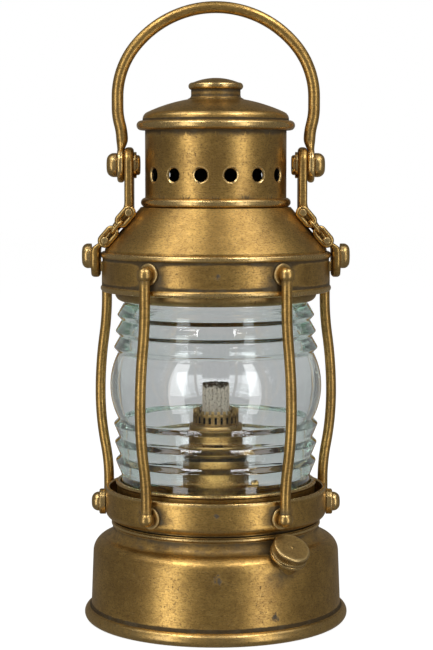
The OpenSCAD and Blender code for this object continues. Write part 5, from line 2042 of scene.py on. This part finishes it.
@dataclass
class Studio:
    """Camera, soft boxes, world and floor.

    The levels are strengths of the world, where 1 is white. The lantern is lit by ambient, and its brass
    mirrors the walls. The near pane of the glass mirrors pane_level, or limb_level towards the back.
    Through the glass the level is glass_level, or for a ray that something inside sent back once,
    inside_front, inside_back or, on the floor, mirrored_level, and trapped_level for one sent back twice.
    """

    camera_at: Triple = (0.35, -915.0, 228.0)
    camera_pitch: float = 5.0
    lens_mm: float = 101.35
    film_mm: float = 36.0
    sight_m: float = 50.0
    box_az: float = 42.0
    box_away: float = 950.0
    box_z: float = 230.0
    box_widths: Pair = (300.0, 220.0)
    box_h: float = 1400.0
    box_watts: Pair = (3.25, 2.7)
    high_at: Triple = (460.0, -510.0, 1150.0)
    high_size: Pair = (420.0, 200.0)
    high_aim: float = 60.0
    high_watts: float = 3.6
    top_at: Triple = (520.0, -60.0, 1150.0)
    top_size: Pair = (360.0, 800.0)
    top_aim: float = 250.0
    top_watts: float = 1.7
    floor_r: float = 5000.0
    floor_sides: int = 64
    floor_paint: Colour = colour(0.82, 0.82, 0.82)
    floor_level: float = 1.16
    floor_glow: float = 0.8
    ambient: float = 0.42
    glass_level: float = 0.60
    mirrored_level: float = 0.25
    inside_front: float = 3.4
    inside_back: float = 0.12
    pane_level: float = 0.06
    limb_level: float = 0.42
    trapped_level: float = 0.70
    walls_front: float = 0.21
    walls_back: float = 0.18
    ceiling_share: float = 0.55
    bounces: int = 24

    def camera(self) -> None:
        """Sets the camera at the photograph's viewing angle."""
        data = bpy.data.cameras.new("camera")
        data.sensor_fit = "VERTICAL"
        data.sensor_height = self.film_mm
        data.lens = self.lens_mm
        data.clip_end = self.sight_m
        camera = bpy.data.objects.new("camera", data)
        camera.location = [v * MM for v in self.camera_at]
        camera.rotation_euler = (math.radians(90 - self.camera_pitch), 0, 0)
        bpy.context.scene.collection.objects.link(camera)
        bpy.context.scene.camera = camera

    def _area(self, name: str, at: Triple, aim_z: float, size: Pair, watts: float) -> None:
        """Rectangular soft light.

        Args:
            name: Name of the light.
            at: Its middle in millimetres.
            aim_z: Height of the place on the lantern's axis that it faces.
            size: Width and height in millimetres.
            watts: Its power.
        """
        data = bpy.data.lights.new(name, "AREA")
        data.shape = "RECTANGLE"
        data.size, data.size_y = size[0] * MM, size[1] * MM
        data.energy = watts
        light = bpy.data.objects.new(name, data)
        x, y, z = np.subtract(at, (0, 0, aim_z))
        light.location = [v * MM for v in at]
        light.rotation_euler = (math.atan2(math.hypot(x, y), z), 0, math.atan2(x, -y))
        bpy.context.scene.collection.objects.link(light)

    def lights(self) -> None:
        """On each side a tall soft box at the front, a small bright one over it and a wide one overhead."""
        a = math.radians(self.box_az)
        (x, y, z), (high_x, *high_yz) = self.top_at, self.high_at
        for name, side, width, watts in zip(("left", "right"), (-1, 1), self.box_widths, self.box_watts):
            at = (side * self.box_away * math.sin(a), -self.box_away * math.cos(a), self.box_z)
            high, over = (side * high_x, *high_yz), (side * x, y, z)
            self._area(f"box_{name}", at, self.box_z, (width, self.box_h), watts)
            self._area(f"box_high_{name}", high, self.high_aim, self.high_size, self.high_watts)
            self._area(f"box_over_{name}", over, self.top_aim, self.top_size, self.top_watts)

    def _behind_glass(self, tree: ShaderTree, pane: Value, inside: Value) -> Sock:
        """Brightness of the surroundings for a ray that has passed the glass.

        Args:
            tree: Tree of the world or the floor.
            pane: Level for a ray that the near pane sent back.
            inside: Level for a ray that something further in sent back.

        Returns:
            The level, with one of its own for a ray that was never reflected and for one reflected twice.
        """
        turns = tree.ray("Glossy Depth")
        deep = tree.ray("Transmission Depth").step(2.4, 2.6)
        once = deep.between(pane, inside)
        level = turns.clamped().between(self.glass_level, once)
        return (turns - 1.0).clamped().between(level, self.trapped_level)

    def world(self) -> None:
        """White behind the lantern, dim grey walls in its reflections, brighter towards the front."""
        world = bpy.data.worlds.new("studio")
        world.use_nodes = True
        bpy.context.scene.world = world
        tree = ShaderTree(world.node_tree)
        through = tree.ray("Transmission Depth").clamped()
        way = tree.add("ShaderNodeTexCoord", output="Generated")
        back, up = (tree.part(way, axis) for axis in (1, 2))
        front = -1.0 * back
        walls = front.step(-0.6, 0.9).between(self.walls_back, self.walls_front)
        walls = walls * (1.0 - up.step(0.25, 0.85) * (1 - self.ceiling_share))
        pane = back.step(-0.2, 0.9).between(self.pane_level, self.limb_level)
        inside = front.step(0.55, 0.98).between(self.inside_back, self.inside_front)
        mirrored = tree.ray("Is Singular Ray").between(walls, pane)
        plain = tree.ray("Is Glossy Ray").between(self.ambient, mirrored)
        seen = through.between(plain, self._behind_glass(tree, pane, inside))
        level = tree.ray("Is Camera Ray").between(seen, 1.0)
        sky = tree.add("ShaderNodeBackground", {}, {"Color": WHITE, "Strength": level})
        tree.surface(sky, "ShaderNodeOutputWorld")

    def floor(self) -> None:
        """Pale round floor, white to the camera, that keeps the lantern's shadow."""
        a = np.linspace(0, 2 * math.pi, self.floor_sides, endpoint=False)
        rim = np.stack([self.floor_r * np.cos(a), self.floor_r * np.sin(a), 0 * a], -1) * MM
        mesh = bpy.data.meshes.new("floor")
        mesh.from_pydata(rim, [], [list(range(len(rim)))])
        floor = bpy.data.objects.new("floor", mesh)
        floor.visible_glossy = False
        floor.visible_shadow = False
        bpy.context.scene.collection.objects.link(floor)
        material, tree = new_material("floor_paint")
        camera, through = tree.ray("Is Camera Ray"), tree.ray("Transmission Depth").clamped()
        matt = tree.add("ShaderNodeBsdfDiffuse", {}, {"Color": self.floor_paint})
        seen = self._behind_glass(tree, self.pane_level, self.mirrored_level)
        level = camera.between(seen, self.floor_level)
        glow = tree.add("ShaderNodeEmission", {}, {"Color": WHITE, "Strength": level})
        share = camera * self.floor_glow + through
        tree.surface(tree.add("ShaderNodeMixShader", {}, {0: share, 1: matt, 2: glow}))
        mesh.materials.append(material)

    def build(self) -> None:
        """Sets the whole studio up."""
        bpy.context.scene.view_settings.view_transform = "Standard"
        paths = bpy.context.scene.cycles
        paths.max_bounces = paths.glossy_bounces = paths.transmission_bounces = self.bounces
        self.camera()
        self.lights()
        self.world()
        self.floor()


def main() -> None:
    """Builds the lantern's assemblies in order."""
    logging.basicConfig(level=logging.INFO, format="%(name)s: %(message)s")
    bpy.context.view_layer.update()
    Studio().build()
    shop = Workshop()
    for assembly in (Font(shop), Burner(shop), Cage(shop), Hood(shop), Ears(shop), Bail(shop)):
        assembly.build()
        LOG.info("%s done", type(assembly).__name__)
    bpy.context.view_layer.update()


if __name__ == "__main__":
    main()
